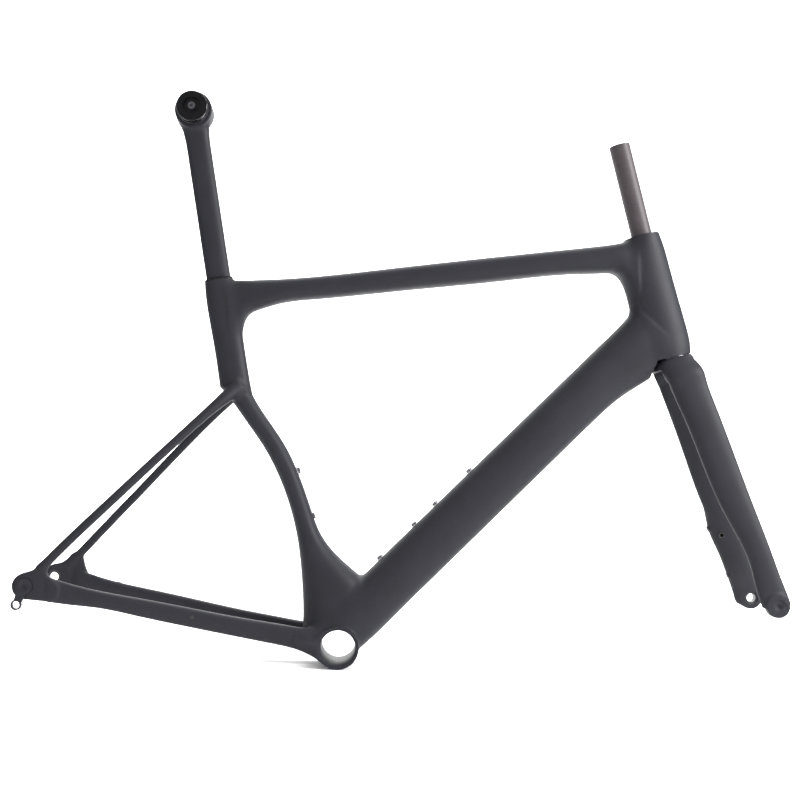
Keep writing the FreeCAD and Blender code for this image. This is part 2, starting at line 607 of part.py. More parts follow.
def make_bearing(base, height, outer, outer_wall, inner, inner_wall, ball_count):
    """Outer race, inner race and ball set of a cartridge bearing standing on base along the steering axis."""
    top = base + height
    outer_race = ring(head_point(base, 0.0), head_point(top, 0.0), outer, outer - outer_wall)
    inner_race = ring(head_point(base, 0.0), head_point(top, 0.0), inner + inner_wall, inner)
    ball_space = (outer - outer_wall) - (inner + inner_wall)
    ball_radius = ball_space / 2 - FIT_GAP / 2
    pitch = inner + inner_wall + ball_space / 2
    centre = in_space(head_point(base + height / 2, 0.0))
    forward = in_space(head_point(0.0, 1.0)) - in_space(head_point(0.0, 0.0))
    balls = []
    for index in range(ball_count):
        angle = 2 * math.pi * index / ball_count
        place = centre + forward * (pitch * math.cos(angle)) + Vector(0, pitch * math.sin(angle), 0)
        balls.append(Part.makeSphere(ball_radius, place))
    return outer_race, inner_race, Part.makeCompound(balls)


def make_headset():
    """Both bearings, the crown race and the compression ring."""
    shapes = {}
    lower = make_bearing(0.9, 7.0, LOWER_BEARING_RADIUS, 2.25, 17.05, 1.75, 20)
    upper = make_bearing(HEAD_TUBE_LENGTH - UPPER_POCKET_DEPTH, 6.5, UPPER_BEARING_RADIUS, 2.0, 15.1, 1.5, 20)
    for name, (outer_race, inner_race, balls) in (("lower", lower), ("upper", upper)):
        shapes[f"{name}_bearing_outer_race"] = outer_race
        shapes[f"{name}_bearing_inner_race"] = inner_race
        shapes[f"{name}_bearing_balls"] = balls
    race = ring(head_point(-1.0, 0.0), head_point(0.9, 0.0), 20.8, STEERER_BASE_RADIUS)
    shapes["crown_race"] = race.fuse(ring(head_point(0.9, 0.0), head_point(6.0, 0.0), 17.05, STEERER_BASE_RADIUS))
    wedge = ring(head_point(166.0, 0.0), head_point(171.0, 0.0), 15.1, STEERER_HIDDEN_RADIUS)
    lip = ring(head_point(171.0, 0.0), head_point(172.2, 0.0), 17.2, STEERER_HIDDEN_RADIUS)
    shapes["compression_ring"] = wedge.fuse(lip).removeSplitter()
    return shapes


# Fork


def make_fork():
    """Steerer tube, crown, both legs with their axle inserts, and the small fork hardware."""
    shapes = {}
    taper_start = 15.0
    taper_end = 60.0
    stem_zone = rod(head_point(STEM_ZONE_START, 0.0), head_point(STEERER_TOP, 0.0), STEERER_RADIUS)
    hidden = rod(head_point(taper_end, 0.0), head_point(STEM_ZONE_START, 0.0), STEERER_HIDDEN_RADIUS)
    taper = Part.makeCone(STEERER_BASE_RADIUS, STEERER_HIDDEN_RADIUS, taper_end - taper_start,
                          in_space(head_point(taper_start, 0.0)), in_space(STEER_UP))
    base = rod(head_point(CROWN_BOTTOM, 0.0), head_point(taper_start, 0.0), STEERER_BASE_RADIUS)
    bore = rod(head_point(CROWN_BOTTOM, 0.0), head_point(STEERER_TOP, 0.0), STEERER_BORE_RADIUS)
    shapes["steerer_tube"] = cut_all(stem_zone.fuse(hidden).fuse(taper).fuse(base), [bore])

    crown_outer = loft(fork_crown_stations(), power=2.8)
    arch = cross_rod(FRONT_AXLE, FRONT_ARCH_RADIUS, -21.0, 21.0)
    steerer_hole = rod(head_point(CROWN_BOTTOM - 20.0, 0.0), head_point(10.0, 0.0), STEERER_BASE_RADIUS)
    shapes["fork_crown"] = cut_all(crown_outer, [arch, steerer_hole])

    for name, side in SIDES:
        leg = loft(fork_leg_stations(side), power=2.3).cut(crown_outer)
        hollow = loft(fork_leg_stations(side)[2:7], wall=WALL, power=2.3)
        tip = cross_rod(FRONT_AXLE, FORK_TIP_RADIUS, side * FORK_INNER, side * FORK_OUTER)
        leg = leg.fuse(tip)
        if side > 0:
            pad = [(front, rear, half_width, BRAKE_PAD_Y) for front, rear, half_width in FRONT_BRAKE_PAD]
            leg = leg.fuse(loft(pad, power=3.0))
        insert = cross_rod(FRONT_AXLE, FRONT_INSERT_RADIUS, side * FORK_INNER, side * FORK_OUTER)
        if side > 0:
            bore = cross_rod(FRONT_AXLE, AXLE_BORE_RADIUS, side * FORK_INNER, side * FORK_OUTER)
        else:
            bore = blind_thread(FRONT_AXLE, side * FORK_INNER, side * FORK_OUTER)
        tools = [hollow, insert]
        if side > 0:
            tools += [brake_insert_body(centre) for centre in FRONT_BRAKE_HOLES] + [grommet_body()]
        shapes[f"{name}_fork_leg"] = cut_all(leg, tools)
        shapes[f"{name}_front_axle_insert"] = insert.cut(bore)
    shapes["front_brake_inserts"] = make_front_brake_inserts()
    shapes["fork_hose_grommet"] = grommet_body().cut(cross_rod(GROMMET_CENTRE, HOSE_RADIUS, 30.0, 60.0))
    return shapes


def brake_insert_direction():
    """Unit direction out of the left leg's rear face, square to the line through the brake holes."""
    first, second = FRONT_BRAKE_HOLES
    along = ((second[0] - first[0]) / math.dist(first, second), (second[1] - first[1]) / math.dist(first, second))
    return (along[1], -along[0])


def brake_insert_body(centre):
    """Solid envelope of one threaded insert for the front brake."""
    direction = brake_insert_direction()
    return rod(offset(centre, direction, -9.0), offset(centre, direction, 1.0), FRONT_INSERT_BODY_RADIUS, BRAKE_PAD_Y)


def make_front_brake_inserts():
    """The two threaded inserts in the left leg's rear face."""
    direction = brake_insert_direction()
    inserts = []
    for centre in FRONT_BRAKE_HOLES:
        bore = rod(offset(centre, direction, -9.0), offset(centre, direction, 1.0), M5_RADIUS, BRAKE_PAD_Y)
        inserts.append(brake_insert_body(centre).cut(bore))
    return Part.makeCompound(inserts)


def grommet_body():
    """Solid envelope of the brake hose's grommet in the left leg's inner face."""
    return cross_rod(GROMMET_CENTRE, GROMMET_RADIUS, 37.5, 46.0)


# Seat post, its wedge and the rail clamp

def clamp_block(rear, front, half_width, top, bottom):
    """Block in front of the seat post, in the post's own directions."""
    corners = [in_space(post_point(up, forward), -half_width)
               for up, forward in ((top, rear), (top, front), (bottom, front), (bottom, rear))]
    face = Part.Face(Part.makePolygon(corners + corners[:1]))
    return face.extrude(Vector(0, 2 * half_width, 0))


def post_bore_stations():
    """Straight bore of the seat tube, clear of the post all round."""
    half_depth = POST_HALF_DEPTH + POST_CLEARANCE
    half_width = POST_HALF_WIDTH + POST_CLEARANCE
    return centred([(post_point(up, -half_depth), post_point(up, half_depth), half_width)
                    for up in (-POST_BORE_DEPTH, 5.0)])


def make_seat_post():
    """Aero seat post: a straight hollow blade under a round eye that carries the rail clamp."""
    rows = ((-POST_INSERTED, POST_HALF_DEPTH, POST_HALF_WIDTH), (0.0, POST_HALF_DEPTH, POST_HALF_WIDTH),
            (180.0, POST_HALF_DEPTH, POST_HALF_WIDTH))
    neck = ((180.0, POST_HALF_DEPTH, POST_HALF_WIDTH), (198.0, 16.7, 10.2), (212.0, 18.0, 12.2),
            (224.0, 20.0, 13.8), (POST_EYE_HEIGHT, 21.5, 14.4))
    straight = loft(post_rows(rows))
    blade = straight.fuse(loft(post_rows(neck)))
    eye = cross_rod(POST_EYE, EYE_RADIUS, -EYE_HALF_WIDTH, EYE_HALF_WIDTH)
    bore = cross_rod(POST_EYE, EYE_BORE_RADIUS, -EYE_HALF_WIDTH, EYE_HALF_WIDTH)
    hollow = loft(post_rows(rows), wall=POST_WALL)
    return cut_all(blade.fuse(eye), [bore, hollow])


def post_rows(rows):
    """Seat post sections from rows of height, half depth and half width."""
    return centred([(post_point(up, -half_depth), post_point(up, half_depth), half_width)
                    for up, half_depth, half_width in rows])


def make_seat_clamp():
    """Hidden wedge in front of the post, and the bolt that draws it up."""
    front_face = POST_HALF_DEPTH + POST_CLEARANCE + 0.3
    wedge = clamp_block(front_face, 25.9, 6.8, -18.0, -38.0)
    seat = in_space(post_point(-18.0, CLAMP_BOLT_FORWARD))
    direction = in_space(POST_UP)
    bolt = socket_screw(seat, direction, 3.9, 6.0, M5_RADIUS, 18.0, M5_KEY_RADIUS)
    return {"seat_clamp_wedge": cut_all(wedge, [bolt]), "seat_clamp_bolt": bolt}


def make_rail_clamp():
    """Two cradles that turn in the post's eye, two outer ears, and the cross bolt with its nut."""
    shapes = {}
    spigot_radius = EYE_BORE_RADIUS - RUNNING_CLEARANCE
    flange_start = EYE_HALF_WIDTH + FIT_GAP
    ear_outer = RAIL_HALF_SPACING + 9.0
    counterbore = RAIL_HALF_SPACING + 4.6
    bolt_hole = cross_rod(POST_EYE, M6_RADIUS, -CUTTER_LENGTH, CUTTER_LENGTH)
    for name, side in SIDES:
        rail_centre = Vector(POST_EYE[0] - 40.0, side * RAIL_HALF_SPACING, POST_EYE[1] + RAIL_HEIGHT)
        rail = Part.makeCylinder(RAIL_RADIUS, 80.0, rail_centre, Vector(1, 0, 0))
        spigot = cross_rod(POST_EYE, spigot_radius, 0.0, side * flange_start)
        flange = cross_rod(POST_EYE, CLAMP_DISC_RADIUS, side * flange_start, side * RAIL_HALF_SPACING)
        shapes[f"{name}_rail_cradle"] = cut_all(spigot.fuse(flange), [rail, bolt_hole])
        ear = cross_rod(POST_EYE, CLAMP_DISC_RADIUS, side * RAIL_HALF_SPACING, side * ear_outer)
        rim = max(ear.Edges, key=lambda edge: edge.CenterOfMass.y * side + edge.Length / 1000)
        ear = ear.makeFillet(1.6, [rim])
        pocket = cross_rod(POST_EYE, 12.0, side * counterbore, side * CUTTER_LENGTH)
        shapes[f"{name}_clamp_ear"] = cut_all(ear, [rail, bolt_hole, pocket])
    seat = in_space(POST_EYE, -counterbore)
    shapes["clamp_bolt"] = socket_screw(seat, Vector(0, -1, 0), 5.0, 5.4, M6_RADIUS, counterbore + 30.0, 2.6)
    nut = cross_rod(POST_EYE, 5.4, counterbore, ear_outer - 1.0)
    shapes["clamp_nut"] = nut.cut(bolt_hole)
    return shapes


def make_parts():
    """Every sub-part of the frame set, by node name."""
    parts = make_tubes()
    parts.update(make_dropouts())
    parts.update(make_headset())
    parts.update(make_fork())
    parts.update(make_seat_clamp())
    parts.update(make_rail_clamp())
    parts["seat_post"] = make_seat_post()
    parts["rear_brake_bushes"] = make_rear_brake_bushes()
    parts["chain_stay_plug"] = plug_body()
    for place, seats in (("down_tube", down_tube_bosses()), ("seat_tube", seat_tube_bosses())):
        inserts, bolts = make_bottle_hardware(seats)
        parts[f"{place}_bottle_inserts"] = inserts
        parts[f"{place}_bottle_bolts"] = bolts
    return parts


def main():
    """Build and write every sub-part."""
    os.makedirs(PARTS_FOLDER, exist_ok=True)
    for name, shape in make_parts().items():
        save(name, shape)


main()
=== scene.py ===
import json
import logging
import math
from dataclasses import dataclass, field
from enum import Enum

import bpy
import numpy as np
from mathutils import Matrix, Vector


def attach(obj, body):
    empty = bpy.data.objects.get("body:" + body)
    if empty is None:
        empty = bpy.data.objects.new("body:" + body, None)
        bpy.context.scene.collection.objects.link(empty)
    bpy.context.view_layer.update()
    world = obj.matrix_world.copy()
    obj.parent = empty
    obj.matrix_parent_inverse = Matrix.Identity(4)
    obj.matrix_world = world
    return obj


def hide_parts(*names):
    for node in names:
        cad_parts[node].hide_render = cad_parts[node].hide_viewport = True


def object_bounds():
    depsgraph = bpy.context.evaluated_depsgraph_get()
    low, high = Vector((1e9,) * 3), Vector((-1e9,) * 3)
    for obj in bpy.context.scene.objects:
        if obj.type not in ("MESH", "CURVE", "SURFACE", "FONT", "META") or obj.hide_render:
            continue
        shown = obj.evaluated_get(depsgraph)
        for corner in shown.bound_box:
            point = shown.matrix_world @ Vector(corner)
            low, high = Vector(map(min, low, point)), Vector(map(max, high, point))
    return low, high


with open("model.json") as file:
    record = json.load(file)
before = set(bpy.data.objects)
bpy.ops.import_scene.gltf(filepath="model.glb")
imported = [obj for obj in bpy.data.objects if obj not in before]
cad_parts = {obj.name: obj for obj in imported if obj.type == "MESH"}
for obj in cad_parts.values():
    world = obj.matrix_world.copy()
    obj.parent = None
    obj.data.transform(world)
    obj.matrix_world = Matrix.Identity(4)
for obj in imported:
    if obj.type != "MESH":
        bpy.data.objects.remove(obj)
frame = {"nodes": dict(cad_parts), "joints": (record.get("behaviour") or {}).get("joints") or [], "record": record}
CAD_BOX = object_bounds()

import openvdb
from mathutils import Vector

# Looks of a carbon road frame set for disc brakes: the moulded skins of frame, fork and seat post, and finishes for
# the metal parts between them. Sizes are in millimetres, with X forwards, Y to the rider's left and Z up.

LOG = logging.getLogger("frame_set")
METRES = 0.001
RIGHT, LEFT = -1.0, 1.0
FIT_MM = 0.02
FAR_MM = 60.0

Point = tuple[float, float]
Row = tuple[float, ...]
Arm = tuple[Point, float, Point, float]
Colour = tuple[float, float, float, float]


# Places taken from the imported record

def mount_place(name: str) -> np.ndarray:
    """Place of a mount of the record, in mm.

    Args:
        name: the mount's name.

    Returns:
        Its x, y and z.
    """
    found = [mount for mount in frame["record"]["mounts"] if mount["name"] == name]
    return np.array(found[0]["pos_m"], float) / METRES


def joint_line(name: str) -> tuple[np.ndarray, np.ndarray]:
    """Place and direction of a joint of the record.

    Args:
        name: the joint's name.

    Returns:
        A point of its axis in mm, and the axis as a unit vector.
    """
    found = [joint for joint in frame["joints"] if joint["name"] == name]
    place = np.array(found[0].get("pos_m", (0.0, 0.0, 0.0)), float) / METRES
    axis = np.array(found[0]["axis"], float)
    return place, axis / np.linalg.norm(axis)


def offset(origin: Point, direction: Point, distance: float, left: float = 0.0) -> Point:
    """Point reached from origin along a direction and then to the direction's left.

    Args:
        origin: start, as x and z.
        direction: unit direction, as x and z.
        distance: how far along it.
        left: how far square to it, to its left.

    Returns:
        The point's x and z.
    """
    return (origin[0] + direction[0] * distance - direction[1] * left,
            origin[1] + direction[1] * distance + direction[0] * left)


def polar(centre: Point, radius: float, degrees: float) -> Point:
    """Point at a radius and an angle round a centre.

    Args:
        centre: middle of the arc, as x and z.
        radius: distance from it.
        degrees: angle up from the forward direction.

    Returns:
        The point's x and z.
    """
    angle = math.radians(degrees)
    return (centre[0] + radius * math.cos(angle), centre[1] + radius * math.sin(angle))


@dataclass(frozen=True)
class Layout:
    """Fixed points that every sub-assembly is measured from."""

    collar_below_eye: float = 234.8
    eye_forward: float = 1.5
    down_tube_degrees: float = 45.7
    rear_axle: Point = field(default_factory=lambda: tuple(mount_place("rear_axle_head")[[0, 2]]))
    front_axle: Point = field(default_factory=lambda: tuple(mount_place("front_axle_head")[[0, 2]]))
    head_base: Point = field(default_factory=lambda: tuple(joint_line("steering")[0][[0, 2]]))
    steer_up: Point = field(default_factory=lambda: tuple(joint_line("steering")[1][[0, 2]]))
    post_eye: Point = field(default_factory=lambda: tuple(joint_line("saddle_tilt")[0][[0, 2]]))
    post_up: Point = field(default_factory=lambda: tuple(joint_line("seat_post_height")[1][[0, 2]]))

    def head(self, up: float, forward: float) -> Point:
        """Point up from the head tube's lower face and forward of the steering axis."""
        return offset(self.head_base, self.steer_up, up, -forward)

    def post(self, up: float, forward: float) -> Point:
        """Point up from the seat collar and forward of the seat post's axis."""
        return offset(self.post_eye, self.post_up, up - self.collar_below_eye, self.eye_forward - forward)

    def down_tube(self, along: float, above: float) -> Point:
        """Point along the down tube from the bottom bracket and above its line."""
        angle = math.radians(self.down_tube_degrees)
        return offset((0.0, 0.0), (math.cos(angle), math.sin(angle)), along, above)


def space(point: Point, y: float = 0.0) -> np.ndarray:
    """Middle-plane point moved sideways to y, as x, y and z."""
    return np.array((point[0], y, point[1]), float)


# Closed shells

@dataclass
class Shell:
    """A closed surface in millimetres."""

    points: np.ndarray
    quads: np.ndarray
    triangles: np.ndarray


def lace(rings: np.ndarray, closed: bool = False) -> Shell:
    """Closed surface through rings of points, capped at both ends.

    Args:
        rings: points as rings x sides x 3.
        closed: join the last ring to the first instead of capping them.

    Returns:
        The shell.
    """
    count, sides = rings.shape[:2]
    points = rings.reshape(-1, 3)
    spans = count if closed else count - 1
    first = (np.arange(spans)[:, None] * sides + np.arange(sides)).ravel()
    turned_on = (np.arange(spans)[:, None] * sides + np.roll(np.arange(sides), -1)).ravel()
    quads = np.column_stack([first, turned_on, (turned_on + sides) % len(points), (first + sides) % len(points)])
    if closed:
        return Shell(points, quads, np.zeros((0, 3), int))
    low, high = len(points), len(points) + 1
    points = np.vstack([points, rings[0].mean(0), rings[-1].mean(0)])
    around = np.arange(sides)
    following = np.roll(around, -1)
    last = (count - 1) * sides
    base = np.column_stack([following, around, np.full(sides, low)])
    top = np.column_stack([around + last, following + last, np.full(sides, high)])
    return Shell(points, quads, np.vstack([base, top]))


def smooth_rows(rows: list[Row], step: float) -> np.ndarray:
    """Section rows resampled along a natural cubic spline through them.

    Args:
        rows: sections as upper x and z, lower x and z, half width, side offset.
        step: distance between the resampled sections.

    Returns:
        The rows at that step.
    """
    known = np.array(rows, float)
    centres = np.column_stack([(known[:, 0:2] + known[:, 2:4]) / 2, known[:, 5]])
    knots = np.concatenate([[0.0], np.cumsum(np.linalg.norm(np.diff(centres, axis=0), axis=1))])
    gaps = np.diff(knots)
    slopes = np.diff(known, axis=0) / gaps[:, None]
    system = np.eye(len(knots))
    right_side = np.zeros_like(known)
    for index in range(1, len(knots) - 1):
        system[index, index - 1:index + 2] = gaps[index - 1], 2 * (gaps[index - 1] + gaps[index]), gaps[index]
        right_side[index] = 6 * (slopes[index] - slopes[index - 1])
    bends = np.linalg.solve(system, right_side)
    places = np.linspace(0.0, knots[-1], max(2, round(knots[-1] / step) + 1))
    index = np.clip(np.searchsorted(knots, places, side="right") - 1, 0, len(knots) - 2)
    gap = gaps[index][:, None]
    ahead = (knots[index + 1] - places)[:, None]
    behind = (places - knots[index])[:, None]
    curved = (bends[index] * ahead ** 3 + bends[index + 1] * behind ** 3) / (6 * gap)
    start = (known[index] / gap - bends[index] * gap / 6) * ahead
    return curved + start + (known[index + 1] / gap - bends[index + 1] * gap / 6) * behind


def section_ring(row: np.ndarray, power: float, sides: int, grow: float = 0.0) -> np.ndarray:
    """Superellipse ring of one section.

    Args:
        row: the section, as in smooth_rows.
        power: the superellipse's power, 2 for an ellipse and more for a squarer one.
        sides: points in the ring.
        grow: extra size all round.

    Returns:
        The ring's points.
    """
    angles = np.linspace(0.0, 2 * math.pi, sides, endpoint=False)
    depth = np.sign(np.cos(angles)) * np.abs(np.cos(angles)) ** (2 / power)
    width = np.sign(np.sin(angles)) * np.abs(np.sin(angles)) ** (2 / power)
    centre = (row[0:2] + row[2:4]) / 2
    half = (row[0:2] - row[2:4]) / 2
    half = half * (1 + grow / np.linalg.norm(half))
    return np.column_stack([centre[0] + half[0] * depth, row[5] + (row[4] + grow) * width,
                            centre[1] + half[1] * depth])


def loft(rows: list[Row], power: float, step: float = 4.0, sides: int = 88) -> Shell:
    """Smooth tube through superellipse sections.

    Args:
        rows: the sections, as in smooth_rows.
        power: their superellipse power.
        step: distance between rings.
        sides: points in a ring.

    Returns:
        The capped tube.
    """
    return lace(np.array([section_ring(row, power, sides) for row in smooth_rows(rows, step)]))


def turned(start: np.ndarray, end: np.ndarray, profile: list[Point], sides: int = 96) -> Shell:
    """Lathe-turned solid about the line from start to end.

    Args:
        start: where the profile's zero is.
        end: any point further along the axis.
        profile: (distance from start, radius) pairs in order.
        sides: points round the axis.

    Returns:
        The capped solid.
    """
    axis = (end - start) / np.linalg.norm(end - start)
    across = np.cross(axis, (0.0, 0.0, 1.0) if abs(axis[2]) < 0.9 else (1.0, 0.0, 0.0))
    across /= np.linalg.norm(across)
    second = np.cross(axis, across)
    angles = np.linspace(0.0, 2 * math.pi, sides, endpoint=False)[:, None]
    circle = np.cos(angles) * across + np.sin(angles) * second
    return lace(np.array([start + axis * along + circle * radius for along, radius in profile]))


def rod(start: np.ndarray, end: np.ndarray, radius: float, sides: int = 96) -> Shell:
    """Cylinder between two points."""
    return turned(start, end, [(0.0, radius), (float(np.linalg.norm(end - start)), radius)], sides)


def cross_rod(centre: Point, radius: float, y_start: float, y_end: float) -> Shell:
    """Cylinder along Y between two side positions."""
    return rod(space(centre, y_start), space(centre, y_end), radius)


def plate(outline: list[Point], y_start: float, y_end: float) -> Shell:
    """Flat plate between two side positions, with a convex outline of (x, z) points."""
    low, high = min(y_start, y_end), max(y_start, y_end)
    return lace(np.array([[space(point, y) for point in outline] for y in (low, high)]))


def strap(first: Point, first_radius: float, second: Point, second_radius: float,
          y_start: float, y_end: float) -> Shell:
    """Plate with two round ends joined by their outer tangents.

    Args:
        first: centre of one end.
        first_radius: its radius.
        second: centre of the other end.
        second_radius: its radius.
        y_start: one face's side position.
        y_end: the other face's side position.

    Returns:
        The plate.
    """
    heading = math.degrees(math.atan2(second[1] - first[1], second[0] - first[0]))
    spread = math.degrees(math.acos((first_radius - second_radius) / math.dist(first, second)))
    outline = [polar(second, second_radius, heading + turn) for turn in np.linspace(-spread, spread, 33)]
    outline += [polar(first, first_radius, heading + turn) for turn in np.linspace(spread, 360 - spread, 33)]
    return plate(outline, y_start, y_end)


# Skins that flow from one shape into the next

def melted(first: np.ndarray, second: np.ndarray, fillet: float) -> np.ndarray:
    """Distances of two shapes joined with a fillet of about that size."""
    near = np.maximum(fillet - np.abs(first - second), 0.0) / fillet
    return np.minimum(first, second) - near * near * fillet / 4


def arm_distance(x: np.ndarray, z: np.ndarray, arm: Arm) -> np.ndarray:
    """Distance in the middle plane from an arm with two round ends.

    Args:
        x: forward positions.
        z: heights.
        arm: the arm, as end, radius, other end and radius.

    Returns:
        Distance at every position, negative inside the arm.
    """
    start, start_radius, end, end_radius = arm
    length = math.dist(start, end)
    along_x, along_z = (end[0] - start[0]) / length, (end[1] - start[1]) / length
    along = (x - start[0]) * along_x + (z - start[1]) * along_z
    across = np.abs((x - start[0]) * along_z - (z - start[1]) * along_x)
    taper = (start_radius - end_radius) / length
    straight = math.sqrt(1 - taper * taper)
    place = along * straight - across * taper
    sides = across * straight + along * taper - start_radius
    capped = np.where(place > straight * length, np.hypot(across, along - length) - end_radius, sides)
    return np.where(place < 0.0, np.hypot(across, along) - start_radius, capped)


class Skin:
    """Distance field of several shells that melt into each other, and the crisp cuts made in it afterwards."""

    def __init__(self, low: Row, high: Row, voxel: float, reach: float = 24.0) -> None:
        """Empty field.

        Args:
            low: lowest corner in mm.
            high: highest corner in mm.
            voxel: spacing of the field.
            reach: how far from a surface its distance is kept.
        """
        self.voxel = voxel
        self.reach = reach
        self.origin = np.floor(np.array(low) / voxel).astype(int)
        size = np.ceil(np.array(high) / voxel).astype(int) - self.origin + 1
        self.field = np.full(size, reach, np.float32)
        self.transform = openvdb.createLinearTransform(voxelSize=voxel)

    def _distance(self, shell: Shell) -> tuple[tuple[slice, ...], np.ndarray]:
        """Part of the field that a shell reaches, and the shell's distances there."""
        grid = openvdb.FloatGrid.createLevelSetFromPolygons(
            points=shell.points.astype(np.float32), triangles=shell.triangles.astype(np.uint32),
            quads=shell.quads.astype(np.uint32), transform=self.transform, halfWidth=self.reach / self.voxel)
        low, high = grid.evalActiveVoxelBoundingBox()
        low = np.maximum(np.array(low), self.origin)
        high = np.minimum(np.array(high), self.origin + self.field.shape - 1)
        values = np.zeros(high - low + 1, np.float32)
        grid.copyToArray(values, ijk=tuple(int(value) for value in low))
        region = tuple(slice(start, stop) for start, stop in zip(low - self.origin, high - self.origin + 1))
        return region, values

    def add(self, shell: Shell, fillet: float) -> None:
        """Join a shell to the skin, with a fillet of about that size where they meet."""
        region, values = self._distance(shell)
        self.field[region] = melted(self.field[region], values, fillet)

    def carve(self, shell: Shell, fillet: float) -> None:
        """Take a shell away from the skin, with edges rounded to about that size."""
        region, values = self._distance(shell)
        self.field[region] = -melted(-self.field[region], values, fillet)

    def add_arms(self, arms: list[Arm], y_start: float, y_end: float, corner: float, fillet: float) -> None:
        """Join a flat plate made of round-ended arms to the skin.

        Args:
            arms: the arms, each as end, radius, other end and radius.
            y_start: one face's side position.
            y_end: the other face's side position.
            corner: size of the curves between the arms.
            fillet: size of the fillet to the skin.
        """
        x, y, z = [(self.origin[axis] + np.arange(self.field.shape[axis])) * self.voxel for axis in range(3)]
        outline = arm_distance(x[:, None], z[None, :], arms[0])
        for arm in arms[1:]:
            outline = melted(outline, arm_distance(x[:, None], z[None, :], arm), corner)
        slab = np.abs(y - (y_start + y_end) / 2) - abs(y_end - y_start) / 2
        values = -melted(-outline[:, None, :], -slab[None, :, None], 2.0)
        self.field = melted(self.field, values, fillet).astype(np.float32)

    def piece(self, name: str) -> bpy.types.Object:
        """Surface of the field as a Blender object.

        Args:
            name: the object's name.

        Returns:
            The object, with smooth shading.
        """
        margin = 3 * self.voxel
        grid = openvdb.FloatGrid(margin)
        grid.transform = self.transform
        grid.copyFromArray(np.clip(self.field, -margin, margin), ijk=tuple(int(value) for value in self.origin))
        points, quads = grid.convertToQuads(isovalue=0.0)
        points = relaxed(points.astype(float), quads.astype(int))
        return make_object(name, Shell(points, quads[:, ::-1].astype(int), np.zeros((0, 3), int)))


def relaxed(points: np.ndarray, quads: np.ndarray, rounds: int = 5) -> np.ndarray:
    """Points evened out without shrinking the shape.

    Args:
        points: the surface's points.
        quads: its faces.
        rounds: pairs of one smoothing and one restoring step.

    Returns:
        The moved points.
    """
    starts = quads.ravel()
    ends = np.roll(quads, -1, axis=1).ravel()
    degree = np.bincount(starts, minlength=len(points)).astype(float)[:, None]
    for share in (0.5, -0.53) * rounds:
        mean = np.column_stack([np.bincount(starts, weights=points[ends, axis], minlength=len(points))
                                for axis in range(3)]) / degree
        points = points + share * (mean - points)
    return points


def make_object(name: str, shell: Shell) -> bpy.types.Object:
    """Blender object of a shell, in metres.

    Args:
        name: the object's name.
        shell: its surface in mm.

    Returns:
        The object, linked to the scene.
    """
    mesh = bpy.data.meshes.new(name)
    faces = shell.quads.tolist() + shell.triangles.tolist()
    mesh.from_pydata((shell.points * METRES).tolist(), [], faces)
    mesh.shade_smooth()
    made = bpy.data.objects.new(name, mesh)
    bpy.context.scene.collection.objects.link(made)
    return made


def joined(shells: list[Shell]) -> Shell:
    """One shell of several that don't touch."""
    starts = np.cumsum([0] + [len(shell.points) for shell in shells[:-1]])
    return Shell(np.vstack([shell.points for shell in shells]),
                 np.vstack([shell.quads + start for shell, start in zip(shells, starts)]),
                 np.vstack([shell.triangles + start for shell, start in zip(shells, starts)]))


def cut(piece: bpy.types.Object, cutters: list[Shell]) -> None:
    """Cut closed shells from a piece, with crisp edges.

    Args:
        piece: the object to cut.
        cutters: shells that don't touch each other.
    """
    tool = make_object("cutter", joined(cutters))
    modifier = piece.modifiers.new("cut", "BOOLEAN")
    modifier.operation = "DIFFERENCE"
    modifier.solver = "MANIFOLD"
    modifier.object = tool
    apply_modifiers(piece)
    bpy.data.objects.remove(tool)


def apply_modifiers(piece: bpy.types.Object) -> None:
    """Bake a piece's modifiers into its mesh."""
    graph = bpy.context.evaluated_depsgraph_get()
    mesh = bpy.data.meshes.new_from_object(piece.evaluated_get(graph))
    piece.modifiers.clear()
    piece.data = mesh


def crease(piece: bpy.types.Object, degrees: float = 50.0) -> None:
    """Shade a piece smooth but for edges sharper than an angle."""
    piece.data.shade_smooth()
    piece.data.set_sharp_from_angle(angle=math.radians(degrees))


def dress(piece: bpy.types.Object, finish: "Finish") -> None:
    """Give every face of a piece one finish."""
    piece.data.materials.clear()
    piece.data.materials.append(finish.material())


# Finishes

def linear(code: str) -> Colour:
    """Linear colour of an sRGB hex code such as 3A3A40."""
    parts = [int(code[index:index + 2], 16) / 255 for index in (0, 2, 4)]
    bright = [part / 12.92 if part <= 0.04045 else ((part + 0.055) / 1.055) ** 2.4 for part in parts]
    return (bright[0], bright[1], bright[2], 1.0)


def node(tree: bpy.types.NodeTree, kind: str, settings: dict[str, object],
         links: dict[str, bpy.types.NodeSocket]) -> bpy.types.Node:
    """Add one shader node.

    Args:
        tree: the material's node tree.
        kind: the node's type.
        settings: values for its properties or input sockets, and "stops" for a colour ramp's stops.
        links: sources for its input sockets.

    Returns:
        The node.
    """
    made = tree.nodes.new(kind)
    for name, value in settings.items():
        if name == "stops":
            ramp = made.color_ramp
            for index, (place, colour) in enumerate(value):
                stop = ramp.elements[index] if index < 2 else ramp.elements.new(place)
                stop.position = place
                stop.color = colour
        elif hasattr(made, name):
            setattr(made, name, value)
        else:
            made.inputs[name].default_value = value
    for name, source in links.items():
        tree.links.new(source, made.inputs[name])
    return made


class Metalness(Enum):
    """Whether a surface reflects as a metal or as a clear, paint or rubber surface."""

    METAL = 1.0
    DIELECTRIC = 0.0


